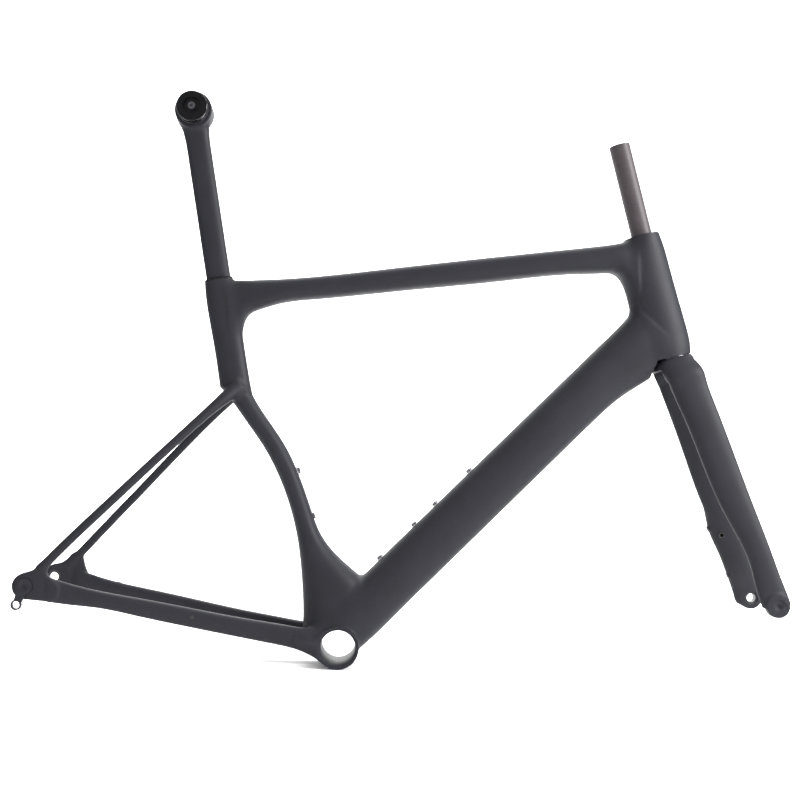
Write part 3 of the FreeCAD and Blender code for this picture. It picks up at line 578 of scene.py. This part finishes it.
@dataclass(frozen=True)
class Finish:
    """One real finish: two close colours in patches, a fine texture stretched along one axis, and its relief."""

    name: str
    colour: str
    second_colour: str
    metalness: Metalness
    roughness: tuple[float, float]
    patch_mm: float
    grain_mm: tuple[float, float, float]
    grain_share: float
    relief_mm: float
    coat: float = 0.0
    coat_roughness: float = 0.1
    specular: float = 0.5

    def material(self) -> bpy.types.Material:
        """The finish as a material, made once."""
        known = bpy.data.materials.get(self.name)
        return known or self.build()

    def build(self) -> bpy.types.Material:
        """Make the material's nodes.

        Returns:
            The material.
        """
        made = bpy.data.materials.new(self.name)
        made.use_nodes = True
        tree = made.node_tree
        tree.nodes.clear()
        place = node(tree, "ShaderNodeTexCoord", {}, {}).outputs["Object"]
        patches = node(tree, "ShaderNodeTexNoise",
                       {"Scale": 1 / (self.patch_mm * METRES), "Detail": 3.0, "Roughness": 0.55},
                       {"Vector": place}).outputs["Fac"]
        stretch = tuple(1 / (size * METRES) for size in self.grain_mm)
        stretched = node(tree, "ShaderNodeMapping", {"Scale": stretch}, {"Vector": place}).outputs["Vector"]
        grain = node(tree, "ShaderNodeTexNoise", {"Scale": 1.0, "Detail": 2.0, "Roughness": 0.6},
                     {"Vector": stretched}).outputs["Fac"]
        mixed = node(tree, "ShaderNodeMix", {"data_type": "FLOAT", "Factor": self.grain_share},
                     {"A": patches, "B": grain}).outputs["Result"]
        tone = node(tree, "ShaderNodeValToRGB",
                    {"stops": [(0.3, linear(self.colour)), (0.7, linear(self.second_colour))]},
                    {"Fac": mixed}).outputs["Color"]
        dull = node(tree, "ShaderNodeMapRange",
                    {"From Min": 0.3, "From Max": 0.7, "To Min": self.roughness[0], "To Max": self.roughness[1]},
                    {"Value": mixed}).outputs["Result"]
        relief = node(tree, "ShaderNodeBump", {"Strength": 1.0, "Distance": self.relief_mm * METRES},
                      {"Height": grain}).outputs["Normal"]
        shader = node(tree, "ShaderNodeBsdfPrincipled",
                      {"Metallic": self.metalness.value, "Coat Weight": self.coat,
                       "Coat Roughness": self.coat_roughness, "Specular IOR Level": self.specular},
                      {"Base Color": tone, "Roughness": dull, "Normal": relief})
        node(tree, "ShaderNodeOutputMaterial", {}, {"Surface": shader.outputs["BSDF"]})
        return made


# Carbon fibre laminate under matt clear lacquer: a soft dark slate sheen with faint ply shading.
MATT_CARBON = Finish("matt_lacquered_carbon_laminate", "1C1C21", "212127", Metalness.DIELECTRIC, (0.5, 0.6),
                     60.0, (2.4, 2.4, 2.4), 0.35, 0.012, specular=0.2)
# Roll-wrapped carbon tube, sanded to size and left bare: warm grey, dull, with fine marks round the tube.
SANDED_CARBON = Finish("sanded_roll_wrapped_carbon", "352F32", "443D40", Metalness.DIELECTRIC, (0.46, 0.6),
                       24.0, (14.0, 14.0, 1.3), 0.6, 0.02, specular=0.35)
# Forged aluminium, bead blasted and black anodised: satin, slightly grainy black.
BLACK_ANODISED = Finish("blasted_black_anodised_aluminium", "1A1A1D", "222226", Metalness.DIELECTRIC, (0.36, 0.48),
                        8.0, (0.8, 0.8, 0.8), 0.6, 0.01)
# Turned aluminium, polished and black anodised: deep gloss black that shows the lights.
POLISHED_BLACK = Finish("polished_black_anodised_aluminium", "060607", "0A0A0C", Metalness.DIELECTRIC, (0.08, 0.14),
                        9.0, (1.6, 1.6, 1.6), 0.4, 0.002, specular=0.3)
# Turned aluminium insert, left natural: light grey with lathe marks.
TURNED_ALUMINIUM = Finish("turned_natural_aluminium", "A9A9AB", "BBBBBD", Metalness.METAL, (0.28, 0.4),
                          6.0, (0.7, 0.7, 0.7), 0.6, 0.008)
# Cold-headed stainless steel screws: bright grey with slight drawing marks.
STAINLESS = Finish("cold_headed_stainless_steel", "5E5E61", "6E6E72", Metalness.METAL, (0.22, 0.34),
                   5.0, (0.6, 0.6, 2.0), 0.5, 0.005)
# Ground and polished bearing steel: bright, nearly mirror.
BEARING_STEEL = Finish("ground_bearing_steel", "B4B5B8", "C4C5C8", Metalness.METAL, (0.1, 0.18),
                       5.0, (2.0, 2.0, 0.5), 0.4, 0.002)
# Moulded nitrile rubber: flat black with a faint bloom.
RUBBER = Finish("moulded_nitrile_rubber", "161617", "202021", Metalness.DIELECTRIC, (0.62, 0.78),
                4.0, (0.5, 0.5, 0.5), 0.5, 0.02)
# Rolled studio paper: pale and quite even.
STUDIO_PAPER = Finish("rolled_studio_paper", "F6F6F6", "F9F9F9", Metalness.DIELECTRIC, (0.8, 0.9),
                      700.0, (40.0, 40.0, 40.0), 0.3, 0.05)

SLOT_FINISHES = {
    "matt_carbon": MATT_CARBON,
    "raw_carbon": SANDED_CARBON,
    "black_aluminium": BLACK_ANODISED,
    "gloss_black_aluminium": POLISHED_BLACK,
    "aluminium_insert": TURNED_ALUMINIUM,
    "steel": STAINLESS,
    "rubber": RUBBER,
}


# Sub-assemblies

def middle(rows: list[tuple[Point, Point, float]]) -> list[Row]:
    """Sections on the middle plane from (upper, lower, half width) rows."""
    return [(*upper, *lower, half_width, 0.0) for upper, lower, half_width in rows]


@dataclass(frozen=True)
class Frame:
    """The frame's one-piece moulded skin."""

    layout: Layout
    voxel: float = 1.6
    fillet: float = 8.0
    bracket_radius: float = 27.5
    bracket_bore: float = 23.0
    bracket_width: float = 86.5
    head_length: float = 172.0
    cut_out_radius: float = 344.8
    arc_depth: float = 25.8
    down_tube_top: float = 42.7
    hub_half_width: float = 71.0
    dropout_thickness: float = 7.0
    dropout_corner: float = 14.0
    recess_radius: float = 35.8
    recess_foot_radius: float = 38.4
    steerer_passage: float = 18.4
    lower_bearing_radius: float = 23.5
    lower_bearing_depth: float = 8.0
    upper_bearing_radius: float = 20.95
    upper_bearing_depth: float = 2.5
    mouth_chamfer: float = 0.5
    post_bore_half_depth: float = 16.7
    post_bore_half_width: float = 10.15
    post_bore_depth: float = 158.0
    wedge_pocket_half_width: float = 7.2
    clamp_bolt_forward: float = 22.0
    clamp_bolt_way: float = 4.9
    rear_insert_radius: float = 9.0
    hanger_boss_radius: float = 8.05
    hanger_seat_radius: float = 10.3
    hanger_eye_from_axle: Point = (-8.8, -23.2)
    brake_bush_radius: float = 3.83
    brake_bush_tilt: float = 13.0
    plug_centre: Point = (-188.4, 36.6)
    plug_radius: float = 2.82
    bottle_bolts: tuple[float, ...] = (119.6, 183.6, 223.1, 287.1)
    bottle_half_pitch: float = 32.0
    seat_bottle_degrees: float = 20.1
    insert_radius: float = 4.02
    insert_flange_radius: float = 6.05
    insert_depth: float = 12.0

    head_rows: tuple[Row, ...] = (
        (-3.0, 25.0, 36.0, 25.8), (8.0, 27.8, 39.5, 26.3), (28.0, 29.4, 40.6, 25.4), (60.0, 28.6, 40.8, 24.3),
        (95.0, 27.5, 40.8, 23.8), (125.0, 26.8, 39.5, 23.6), (150.0, 26.0, 33.0, 23.8), (165.0, 24.4, 26.5, 24.0),
        (172.0, 23.3, 23.4, 23.4), (175.0, 22.8, 22.4, 23.1))
    top_rows: tuple[tuple[Point, Point, float], ...] = (
        ((-168.0, 480.8), (-156.0, 406.3), 14.0), ((-150.0, 484.6), (-145.5, 417.3), 15.0),
        ((-140.0, 485.0), (-138.0, 434.6), 16.2), ((-124.0, 485.9), (-122.5, 445.4), 17.8),
        ((-96.0, 487.9), (-94.5, 454.9), 19.2), ((-50.0, 492.8), (-47.0, 462.6), 20.0),
        ((70.0, 510.4), (74.0, 479.0), 20.5), ((200.0, 529.5), (204.0, 496.6), 21.5),
        ((300.0, 543.6), (304.0, 510.0), 22.5), ((344.0, 550.0), (346.0, 512.8), 23.0),
        ((362.0, 553.3), (364.0, 510.2), 23.2), ((373.0, 556.0), (375.5, 498.0), 23.0),
        ((386.0, 558.3), (391.0, 476.3), 22.0))
    down_rows: tuple[Row, ...] = (
        (4.0, -23.0, 39.7, 39.0), (40.0, -25.0, 42.7, 37.5), (90.0, -25.0, 42.7, 33.5), (150.0, -25.0, 42.7, 30.0),
        (240.0, -25.0, 42.7, 28.0), (340.0, -25.0, 42.7, 27.5), (430.0, -25.0, 42.7, 27.0),
        (470.0, -25.3, 42.7, 26.8), (506.0, -27.8, 42.7, 26.5), (538.0, -34.2, 42.7, 26.2),
        (564.0, -40.4, 42.7, 26.0), (586.0, -43.0, 43.5, 25.0), (602.0, -29.0, 45.0, 23.0))
    seat_rows: tuple[Row, ...] = ((3.0, 19.0, 19.0, 13.4), (-6.0, 19.9, 19.9, 14.0), (-80.0, 19.9, 20.9, 14.0),
                                  (-144.0, 19.9, 21.2, 14.3))
    arc_rows: tuple[Row, ...] = (
        (40.0, 0.0, 25.8, 14.6), (32.0, 0.0, 25.8, 15.2), (24.0, 0.0, 25.8, 16.0), (16.0, 0.2, 27.0, 17.5),
        (10.5, 0.6, 34.5, 20.0), (5.5, 1.2, 58.0, 25.5), (2.2, 2.2, 83.0, 30.0))
    chain_rows: tuple[tuple[Point, Point, float, float], ...] = (
        ((-6.0, 23.0), (-3.0, -25.6), 33.0, 9.6), ((-26.0, 23.6), (-24.0, -17.0), 33.6, 9.4),
        ((-48.5, 24.8), (-47.5, -6.2), 34.8, 9.0), ((-80.5, 29.2), (-79.0, 1.9), 37.3, 8.7),
        ((-130.5, 36.7), (-128.5, 11.0), 42.2, 8.4), ((-201.0, 49.2), (-198.5, 24.2), 50.0, 8.0),
        ((-261.0, 59.6), (-258.0, 36.1), 57.2, 7.5), ((-311.0, 68.4), (-307.0, 45.7), 63.6, 7.0),
        ((-346.0, 77.0), (-343.0, 49.4), 69.0, 6.4), ((-369.0, 84.0), (-368.5, 52.6), 73.2, 5.6))
    right_stay_end: tuple[Row, ...] = (
        (-381.0, 474.5, 6.0, 74.0, 5.2), (-362.0, 476.0, 5.8, 74.4, 5.6), (-335.0, 477.4, 5.7, 74.0, 5.8),
        (-311.0, 478.0, 5.7, 72.4, 6.0), (-286.0, 479.0, 5.7, 68.0, 6.0))
    left_stay_end: tuple[Row, ...] = (
        (-381.0, 467.5, 6.0, 74.0, 5.2), (-362.0, 469.8, 5.8, 74.4, 5.6), (-335.0, 473.4, 5.7, 74.0, 5.8),
        (-311.0, 476.3, 5.7, 72.4, 6.0), (-286.0, 478.3, 5.7, 68.0, 6.0))
    upper_stay_rows: tuple[Row, ...] = (
        (-262.0, 480.5, 5.7, 61.4, 6.0), (-240.0, 482.0, 5.7, 53.6, 6.0), (-217.0, 483.3, 5.8, 44.8, 6.2),
        (-192.0, 484.4, 6.2, 35.4, 6.6), (-170.0, 484.8, 7.4, 25.6, 7.6), (-154.0, 485.0, 9.0, 15.6, 9.5),
        (-143.0, 485.0, 10.0, 8.0, 10.0))

    def seat_tube(self) -> Shell:
        """Seat tube: straight round the post, then in an arc round the rear wheel."""
        straight = [(self.layout.post(up, -rear), self.layout.post(up, front), half_width)
                    for up, rear, front, half_width in self.seat_rows]
        arc = [((-158.5, 325.8), (-127.0, 329.8), 14.4)]
        for angle, rear, front, half_width in self.arc_rows:
            arc.append((polar(self.layout.rear_axle, self.cut_out_radius + rear, angle),
                        polar(self.layout.rear_axle, self.cut_out_radius + front, angle), half_width))
        arc += [((-48.6, 46.0), (52.0, 46.0), 35.0), ((-48.0, 14.0), (36.0, 14.0), 40.0)]
        rows = np.vstack([smooth_rows(middle(straight), 4.0), smooth_rows(middle(arc), 4.0)])
        return lace(np.array([section_ring(row, 2.3, 88) for row in rows]))

    def head_tube(self) -> Shell:
        """Head tube with a deep nose at the back and a narrow one in front."""
        rows = [(self.layout.head(up, front), self.layout.head(up, -rear), half_width)
                for up, front, rear, half_width in self.head_rows]
        return loft(middle(rows), 2.0)

    def down_tube(self) -> Shell:
        """Down tube: deep, with a belly behind the front wheel."""
        rows = [(self.layout.down_tube(along, high), self.layout.down_tube(along, low), half_width)
                for along, low, high, half_width in self.down_rows]
        return loft(middle(rows), 2.5)

    def chain_stay(self, side: float) -> Shell:
        """Chain stay of one side."""
        rows = [(*upper, *lower, half_width, side * y) for upper, lower, y, half_width in self.chain_rows]
        return loft(rows, 2.6)

    def seat_stay(self, side: float) -> Shell:
        """Seat stay of one side, on a line of about 45 degrees that bends in towards the seat tube."""
        rows = []
        end_rows = self.left_stay_end if side == LEFT else self.right_stay_end
        for x, rise, half_depth, y, half_width in end_rows + self.upper_stay_rows:
            across = half_depth * math.sqrt(0.5)
            rows.append((x - across, x + rise + across, x + across, x + rise - across, half_width, side * y))
        return loft(rows, 2.3)

    def dropout(self, side: float) -> list[Arm]:
        """Arms of one dropout's plate: axle to chain stay, and from between them to the seat stay."""
        axle_arm = (self.layout.rear_axle, 16.3, (-369.0, 67.2), 13.6)
        if side == LEFT:
            return [axle_arm, ((-366.0, 70.0), 14.0, (-368.0, 98.0), 7.0),
                    ((-385.0, 77.5), 11.5, (-372.5, 94.0), 6.5)]
        return [axle_arm, ((-385.0, 78.0), 11.5, (-377.5, 96.0), 6.0)]

    def body(self) -> Skin:
        """All tubes melted into one skin.

        Returns:
            The skin, before its crisp cuts.
        """
        skin = Skin((-430.0, -84.0, -40.0), (500.0, 84.0, 590.0), self.voxel)
        half_width = self.bracket_width / 2 + 2.0
        skin.add(self.down_tube(), 1.0)
        skin.carve(self.fork_recess(), 1.0)
        skin.add(self.head_tube(), self.fillet)
        skin.add(self.seat_tube(), self.fillet)
        skin.add(loft(middle(list(self.top_rows)), 2.5), self.fillet)
        skin.add(cross_rod((0.0, 0.0), self.bracket_radius, -half_width, half_width), 3.0)
        for side in (RIGHT, LEFT):
            skin.add(self.chain_stay(side), self.fillet)
            skin.add(self.seat_stay(side), self.fillet)
            inner = side * self.hub_half_width
            outer = inner + side * self.dropout_thickness
            skin.add_arms(self.dropout(side), inner, outer, self.dropout_corner, 3.0)
        return skin

    def fork_recess(self) -> Shell:
        """Room for the fork crown and the tops of its legs at every steering angle."""
        return turned(space(self.layout.head(0.0, 0.0)), space(self.layout.head(-FAR_MM, 0.0)),
                      [(0.0, self.recess_radius), (7.0, self.recess_radius), (11.0, self.recess_foot_radius),
                       (FAR_MM, self.recess_foot_radius)])

    def build(self) -> bpy.types.Object:
        """Make the frame's skin with its bores, seats and trimmed faces.

        Returns:
            The finished piece.
        """
        piece = self.body().piece("frame_skin")
        head = self.layout.head
        half_width = self.bracket_width / 2
        far = half_width + 30.0
        cut(piece, [cross_rod((0.0, 0.0), FAR_MM, half_width, far), cross_rod((0.0, 0.0), FAR_MM, -half_width, -far),
                    cross_rod_along(head(self.head_length, 0.0), head(self.head_length + 20.0, 0.0), FAR_MM)])
        cut(piece, [self.fork_recess()])
        edge = self.mouth_chamfer
        bore = self.bracket_bore
        cut(piece, [turned(space((0.0, 0.0), -far), space((0.0, 0.0), far),
                           [(far - half_width - 1.0, bore + edge + 1.0), (far - half_width + edge, bore),
                            (far + half_width - edge, bore), (far + half_width + 1.0, bore + edge + 1.0)])])
        below = 5.0
        lower_step = below + self.lower_bearing_depth
        upper_step = self.head_length - self.upper_bearing_depth
        cut(piece, [turned(space(head(-below, 0.0)), space(head(0.0, 0.0)), [
            (0.0, self.lower_bearing_radius), (lower_step, self.lower_bearing_radius),
            (lower_step, self.steerer_passage), (upper_step, self.steerer_passage),
            (upper_step, self.upper_bearing_radius), (self.head_length + 8.0, self.upper_bearing_radius)])])
        self.cut_seat(piece)
        self.cut_rear_end(piece)
        self.cut_bosses(piece)
        crease(piece)
        dress(piece, MATT_CARBON)
        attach(piece, "frame")
        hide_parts("head_tube", "top_tube", "down_tube", "seat_tube", "bottom_bracket_shell",
                    "right_chain_stay", "left_chain_stay", "right_seat_stay", "left_seat_stay",
                    "right_dropout", "left_dropout")
        return piece

    def cut_seat(self, piece: bpy.types.Object) -> None:
        """Cut the seat post's bore, its trimmed mouth, the wedge's pocket and the bolt's way."""
        post = self.layout.post
        side, front, top = 40.0, 19.2, 30.0
        mouth = [post(0.0, -side), post(0.0, front), post(top, front), post(top, -side)]
        cut(piece, [plate(mouth, -side, side)])
        half_depth = self.post_bore_half_depth
        rows = middle([(post(up, -half_depth), post(up, half_depth), self.post_bore_half_width)
                       for up in (-self.post_bore_depth, 5.0)])
        cut(piece, [loft(rows, 2.4)])
        pocket = [post(-10.0, 14.4), post(-10.0, 26.4), post(-40.0, 26.4), post(-40.0, 14.4)]
        cut(piece, [plate(pocket, -self.wedge_pocket_half_width, self.wedge_pocket_half_width)])
        forward = self.clamp_bolt_forward
        cut(piece, [rod(space(post(-12.0, forward)), space(post(20.0, forward)), self.clamp_bolt_way)])

    def cut_rear_end(self, piece: bpy.types.Object) -> None:
        """Cut the axle bores, the hanger's seat, the brake bushes' holes and the plug's hole."""
        axle = self.layout.rear_axle
        inner, outer = self.hub_half_width, self.hub_half_width + self.dropout_thickness
        eye = (axle[0] + self.hanger_eye_from_axle[0], axle[1] + self.hanger_eye_from_axle[1])
        over = 4.0
        cut(piece, [cross_rod(axle, self.rear_insert_radius + FIT_MM, inner - over, outer + over),
                    cross_rod(axle, self.hanger_boss_radius, -inner + over, -outer - over)])
        seat, beyond = -inner - over, -outer - 6.0
        cut(piece, [cross_rod(axle, self.hanger_seat_radius, seat, beyond)])
        cut(piece, [strap(axle, 6.6, eye, 4.8, seat, beyond)])
        holes = []
        tilt = math.radians(self.brake_bush_tilt)
        axis = np.array((math.sin(tilt), 0.0, math.cos(tilt)))
        reach = 26.0
        for name in ("rear_brake_hole_1", "rear_brake_hole_2"):
            centre = mount_place(name)
            holes.append(rod(centre - axis * reach, centre + axis * reach, self.brake_bush_radius, 48))
        holes.append(cross_rod(self.plug_centre, self.plug_radius, -50.0, -66.0))
        cut(piece, holes)

    def cut_bosses(self, piece: bpy.types.Object) -> None:
        """Cut the seats of the bottle inserts."""
        seats = []
        direction = space(self.layout.down_tube(0.0, 1.0))
        for along in self.bottle_bolts:
            seats.append((space(self.layout.down_tube(along, self.down_tube_top)), direction))
        radius = self.cut_out_radius + self.arc_depth
        chord = space(polar((0.0, 0.0), 1.0, self.seat_bottle_degrees))
        turn = math.degrees(math.asin(self.bottle_half_pitch / radius))
        for angle in (self.seat_bottle_degrees + turn, self.seat_bottle_degrees - turn):
            seats.append((space(polar(self.layout.rear_axle, radius, angle)), chord))
        depth = self.insert_depth
        flange = depth - 0.6
        profile = [(0.0, self.insert_radius), (flange, self.insert_radius), (flange, self.insert_flange_radius),
                   (depth + 4.0, self.insert_flange_radius)]
        cut(piece, [turned(seat - axis * depth, seat, profile, 48) for seat, axis in seats])


def cross_rod_along(start: Point, end: Point, radius: float) -> Shell:
    """Cylinder between two points of the middle plane."""
    return rod(space(start), space(end), radius)


@dataclass(frozen=True)
class Fork:
    """The fork's moulded crown and legs."""

    layout: Layout
    voxel: float = 1.4
    fillet: float = 9.0
    leg_fillet: float = 5.0
    hub_half_width: float = 50.0
    tip_thickness: float = 12.0
    tip_radius: float = 15.5
    insert_radius: float = 9.0
    arch_radius: float = 341.0
    arch_half_width: float = 21.0
    steerer_hole: float = 16.55
    grommet_centre: Point = (527.0, 158.0)
    grommet_radius: float = 4.03
    brake_insert_radius: float = 4.43

    crown_rows: tuple[Row, ...] = (
        (2.0, 24.0, 21.8, 23.4), (-1.0, 24.6, 22.8, 24.8), (-5.0, 26.4, 26.4, 29.6), (-10.0, 28.8, 29.2, 31.4),
        (-16.0, 31.4, 30.2, 32.4), (-23.0, 33.8, 28.4, 33.6), (-31.0, 34.8, 25.0, 35.6))
    leg_rows: tuple[tuple[Point, Point, float, float], ...] = (
        ((466.0, 396.0), (424.0, 389.0), 20.0, 7.0),
        ((475.0, 387.0), (427.0, 377.5), 26.0, 9.4), ((483.5, 366.5), (436.3, 352.0), 28.0, 9.6),
        ((494.0, 336.0), (450.3, 320.0), 31.8, 9.5), ((512.5, 287.0), (470.0, 272.0), 36.3, 9.3),
        ((543.6, 202.3), (506.0, 188.0), 44.0, 8.6), ((566.8, 140.5), (536.0, 129.5), 50.2, 7.6),
        ((578.6, 107.5), (543.5, 100.5), 53.6, 6.8), ((587.0, 86.0), (549.5, 79.5), 55.4, 6.2),
        ((590.0, 77.0), (553.5, 68.5), 55.9, 6.0))
    pad_rows: tuple[tuple[Point, Point, float, float], ...] = (
        ((545.0, 192.0), (506.0, 198.5), 4.0, 50.6), ((552.0, 172.0), (510.8, 167.6), 7.6, 50.6),
        ((562.0, 142.0), (526.8, 132.0), 8.0, 50.6), ((574.0, 110.0), (540.4, 102.0), 7.6, 51.0),
        ((582.0, 90.0), (551.0, 84.0), 6.4, 55.0), ((592.0, 72.0), (556.0, 64.0), 5.8, 56.1))

    def body(self) -> Skin:
        """Crown, legs, tips and brake pad melted into one skin.

        Returns:
            The skin, before its crisp cuts.
        """
        skin = Skin((400.0, -74.0, 40.0), (610.0, 74.0, 420.0), self.voxel)
        crown = [(self.layout.head(up, front), self.layout.head(up, -rear), half_width)
                 for up, front, rear, half_width in self.crown_rows]
        skin.add(loft(middle(crown), 2.8), 1.0)
        for side in (RIGHT, LEFT):
            rows = [(*front, *rear, half_width, side * y) for front, rear, y, half_width in self.leg_rows]
            skin.add(loft(rows, 2.3), self.leg_fillet)
            skin.add(cross_rod(self.layout.front_axle, self.tip_radius, side * self.hub_half_width,
                               side * (self.hub_half_width + self.tip_thickness)), self.fillet / 2)
        pad = [(*front, *rear, half_width, y) for front, rear, half_width, y in self.pad_rows]
        skin.add(loft(pad, 3.0), self.fillet)
        skin.carve(cross_rod(self.layout.front_axle, self.arch_radius, -self.arch_half_width,
                             self.arch_half_width), 5.0)
        return skin

    def build(self) -> bpy.types.Object:
        """Make the fork's skin with its bores and trimmed faces.

        Returns:
            The finished piece.
        """
        piece = self.body().piece("fork_skin")
        head = self.layout.head
        axle = self.layout.front_axle
        inner, outer = self.hub_half_width, self.hub_half_width + self.tip_thickness
        over = 14.0
        cut(piece, [cross_rod_along(head(-1.0, 0.0), head(20.0, 0.0), FAR_MM)])
        cut(piece, [cross_rod_along(head(-40.0, 0.0), head(10.0, 0.0), self.steerer_hole)])
        cut(piece, [cross_rod(axle, self.insert_radius + FIT_MM, side * (inner - over), side * (outer + over))
                    for side in (RIGHT, LEFT)])
        holes = [cross_rod(self.grommet_centre, self.grommet_radius, 30.0, 46.0)]
        axis = brake_direction()
        for name in ("front_brake_thread_1", "front_brake_thread_2"):
            centre = mount_place(name)
            holes.append(rod(centre - axis * 5.0, centre + axis * 20.0, self.brake_insert_radius, 48))
        cut(piece, holes)
        crease(piece)
        dress(piece, MATT_CARBON)
        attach(piece, "fork")
        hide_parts("fork_crown", "right_fork_leg", "left_fork_leg")
        return piece


def brake_direction() -> np.ndarray:
    """Direction out of the left leg's rear face, square to the line through both brake threads."""
    along = mount_place("front_brake_thread_2") - mount_place("front_brake_thread_1")
    along /= np.linalg.norm(along)
    return np.array((along[2], 0.0, -along[0]))


@dataclass(frozen=True)
class SeatPost:
    """The aero seat post: a blade under a round eye."""

    layout: Layout
    voxel: float = 1.2
    eye_radius: float = 25.2
    eye_half_width: float = 15.0
    eye_bore: float = 17.08
    wall: float = 2.5
    blade_rows: tuple[Row, ...] = (
        (-113.0, 16.4, 9.85), (0.0, 16.4, 9.85), (120.0, 16.4, 9.85), (176.0, 16.4, 9.85), (198.0, 16.9, 10.3),
        (212.0, 18.4, 12.2), (224.0, 20.4, 13.8), (234.0, 21.5, 14.4))

    def rows(self) -> list[Row]:
        """Sections of the blade."""
        return middle([(self.layout.post(up, -half_depth), self.layout.post(up, half_depth), half_width)
                       for up, half_depth, half_width in self.blade_rows])

    def build(self) -> bpy.types.Object:
        """Make the seat post's skin with its eye and its hollow foot.

        Returns:
            The finished piece.
        """
        eye = self.layout.post_eye
        skin = Skin((-270.0, -22.0, 360.0), (-130.0, 22.0, 750.0), self.voxel)
        skin.add(loft(self.rows(), 2.4), 1.0)
        skin.add(cross_rod(eye, self.eye_radius, -self.eye_half_width, self.eye_half_width), 6.0)
        piece = skin.piece("seat_post_skin")
        cut(piece, [cross_rod(eye, self.eye_bore, -30.0, 30.0)])
        foot_row = self.blade_rows[0]
        depth, width = foot_row[1] - self.wall, foot_row[2] - self.wall
        foot = middle([(self.layout.post(up, -depth), self.layout.post(up, depth), width) for up in (-118.0, 150.0)])
        cut(piece, [loft(foot, 2.4)])
        crease(piece)
        dress(piece, MATT_CARBON)
        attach(piece, "seat_post")
        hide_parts("seat_post")
        return piece


@dataclass(frozen=True)
class Hardware:
    """Finishes of the parts whose CAD shape is shown as it is."""

    skipped: tuple[str, ...]
    polished_nodes: tuple[str, ...] = ("upper_bearing_balls", "lower_bearing_balls")
    painted_nodes: tuple[str, ...] = ("right_front_axle_insert", "derailleur_hanger", "hanger_screws",
                                      "rear_brake_bushes", "front_brake_inserts")

    def dress(self) -> int:
        """Give each shown node the finish of its slot.

        Returns:
            How many nodes were dressed.
        """
        slots = {part["node"]: part["material_slot"] for part in frame["record"]["subparts"]}
        shown = [name for name in frame["nodes"] if name not in self.skipped]
        for name in shown:
            finish = SLOT_FINISHES[slots[name]]
            if name in self.polished_nodes:
                finish = BEARING_STEEL
            if name in self.painted_nodes:
                finish = MATT_CARBON
            dress(frame["nodes"][name], finish)
        return len(shown)


@dataclass(frozen=True)
class Studio:
    """Pale paper sweep, soft lights and the camera."""

    camera_place: Row = (21.5, -1619.4, 226.0)
    camera_turn: Row = (93.645, -1.789, -1.911)
    lens_mm: float = 53.86
    sweep_half_width: float = 6000.0
    sweep_front: float = -4000.0
    sweep_back: float = 2400.0
    sweep_radius: float = 1600.0
    sweep_height: float = 5200.0
    world_strength: float = 0.5

    def floor(self) -> bpy.types.Object:
        """Make the paper sweep, which lies under the object and curves up behind it."""
        level = CAD_BOX[0][2] / METRES - 0.4
        profile = [(self.sweep_front, level), (self.sweep_back, level)]
        for degrees in range(6, 91, 6):
            angle = math.radians(degrees)
            profile.append((self.sweep_back + self.sweep_radius * math.sin(angle),
                            level + self.sweep_radius * (1 - math.cos(angle))))
        profile.append((self.sweep_back + self.sweep_radius, level + self.sweep_height))
        points = [(x, y, z) for y, z in profile for x in (-self.sweep_half_width, self.sweep_half_width)]
        faces = [(2 * index, 2 * index + 1, 2 * index + 3, 2 * index + 2) for index in range(len(profile) - 1)]
        made = make_object("paper_sweep", Shell(np.array(points), np.array(faces), np.zeros((0, 3), int)))
        dress(made, STUDIO_PAPER)
        return made

    def lamp(self, name: str, place: Row, target: Row, size: float, watts: float) -> None:
        """Add one square soft light.

        Args:
            name: the light's name.
            place: where it stands, in mm.
            target: the point it faces, in mm.
            size: its side, in mm.
            watts: its power.
        """
        light = bpy.data.lights.new(name, "AREA")
        light.size = size * METRES
        light.energy = watts
        made = bpy.data.objects.new(name, light)
        made.location = Vector(place) * METRES
        made.rotation_euler = (Vector(target) - Vector(place)).to_track_quat("-Z", "Y").to_euler()
        bpy.context.scene.collection.objects.link(made)

    def build(self) -> None:
        """Make floor, lights, surroundings and camera."""
        scene = bpy.context.scene
        self.floor()
        middle_of_frame = (60.0, 0.0, 300.0)
        self.lamp("key", (2500.0, -1300.0, 1500.0), middle_of_frame, 1100.0, 165.0)
        self.lamp("fill", (-1800.0, -2300.0, 2000.0), middle_of_frame, 1500.0, 22.0)
        self.lamp("top", (100.0, 300.0, 2900.0), middle_of_frame, 2000.0, 45.0)
        self.lamp("backdrop", (0.0, 1700.0, 2600.0), (0.0, 4000.0, 300.0), 3000.0, 300.0)
        world = bpy.data.worlds.new("soft_surroundings")
        world.use_nodes = True
        world.node_tree.nodes["Background"].inputs["Color"].default_value = linear("F8F9FB")
        world.node_tree.nodes["Background"].inputs["Strength"].default_value = self.world_strength
        scene.world = world
        scene.view_settings.view_transform = "Standard"
        lens = bpy.data.cameras.new("camera")
        lens.lens = self.lens_mm
        lens.sensor_width = 36.0
        lens.clip_end = 60.0
        camera = bpy.data.objects.new("camera", lens)
        camera.location = Vector(self.camera_place) * METRES
        camera.rotation_euler = tuple(math.radians(angle) for angle in self.camera_turn)
        scene.collection.objects.link(camera)
        scene.camera = camera


def main() -> None:
    """Build every sub-assembly and report each."""
    logging.basicConfig(level=logging.INFO, format="%(message)s")
    layout = Layout()
    Studio().build()
    skins = [Frame(layout).build(), Fork(layout).build(), SeatPost(layout).build()]
    for piece in skins:
        LOG.info("%s: %d faces", piece.name, len(piece.data.polygons))
    hidden = ("head_tube", "top_tube", "down_tube", "seat_tube", "bottom_bracket_shell", "right_chain_stay",
              "left_chain_stay", "right_seat_stay", "left_seat_stay", "right_dropout", "left_dropout",
              "fork_crown", "right_fork_leg", "left_fork_leg", "seat_post")
    LOG.info("dressed %d nodes", Hardware(hidden).dress())


if __name__ == "__main__":
    main()
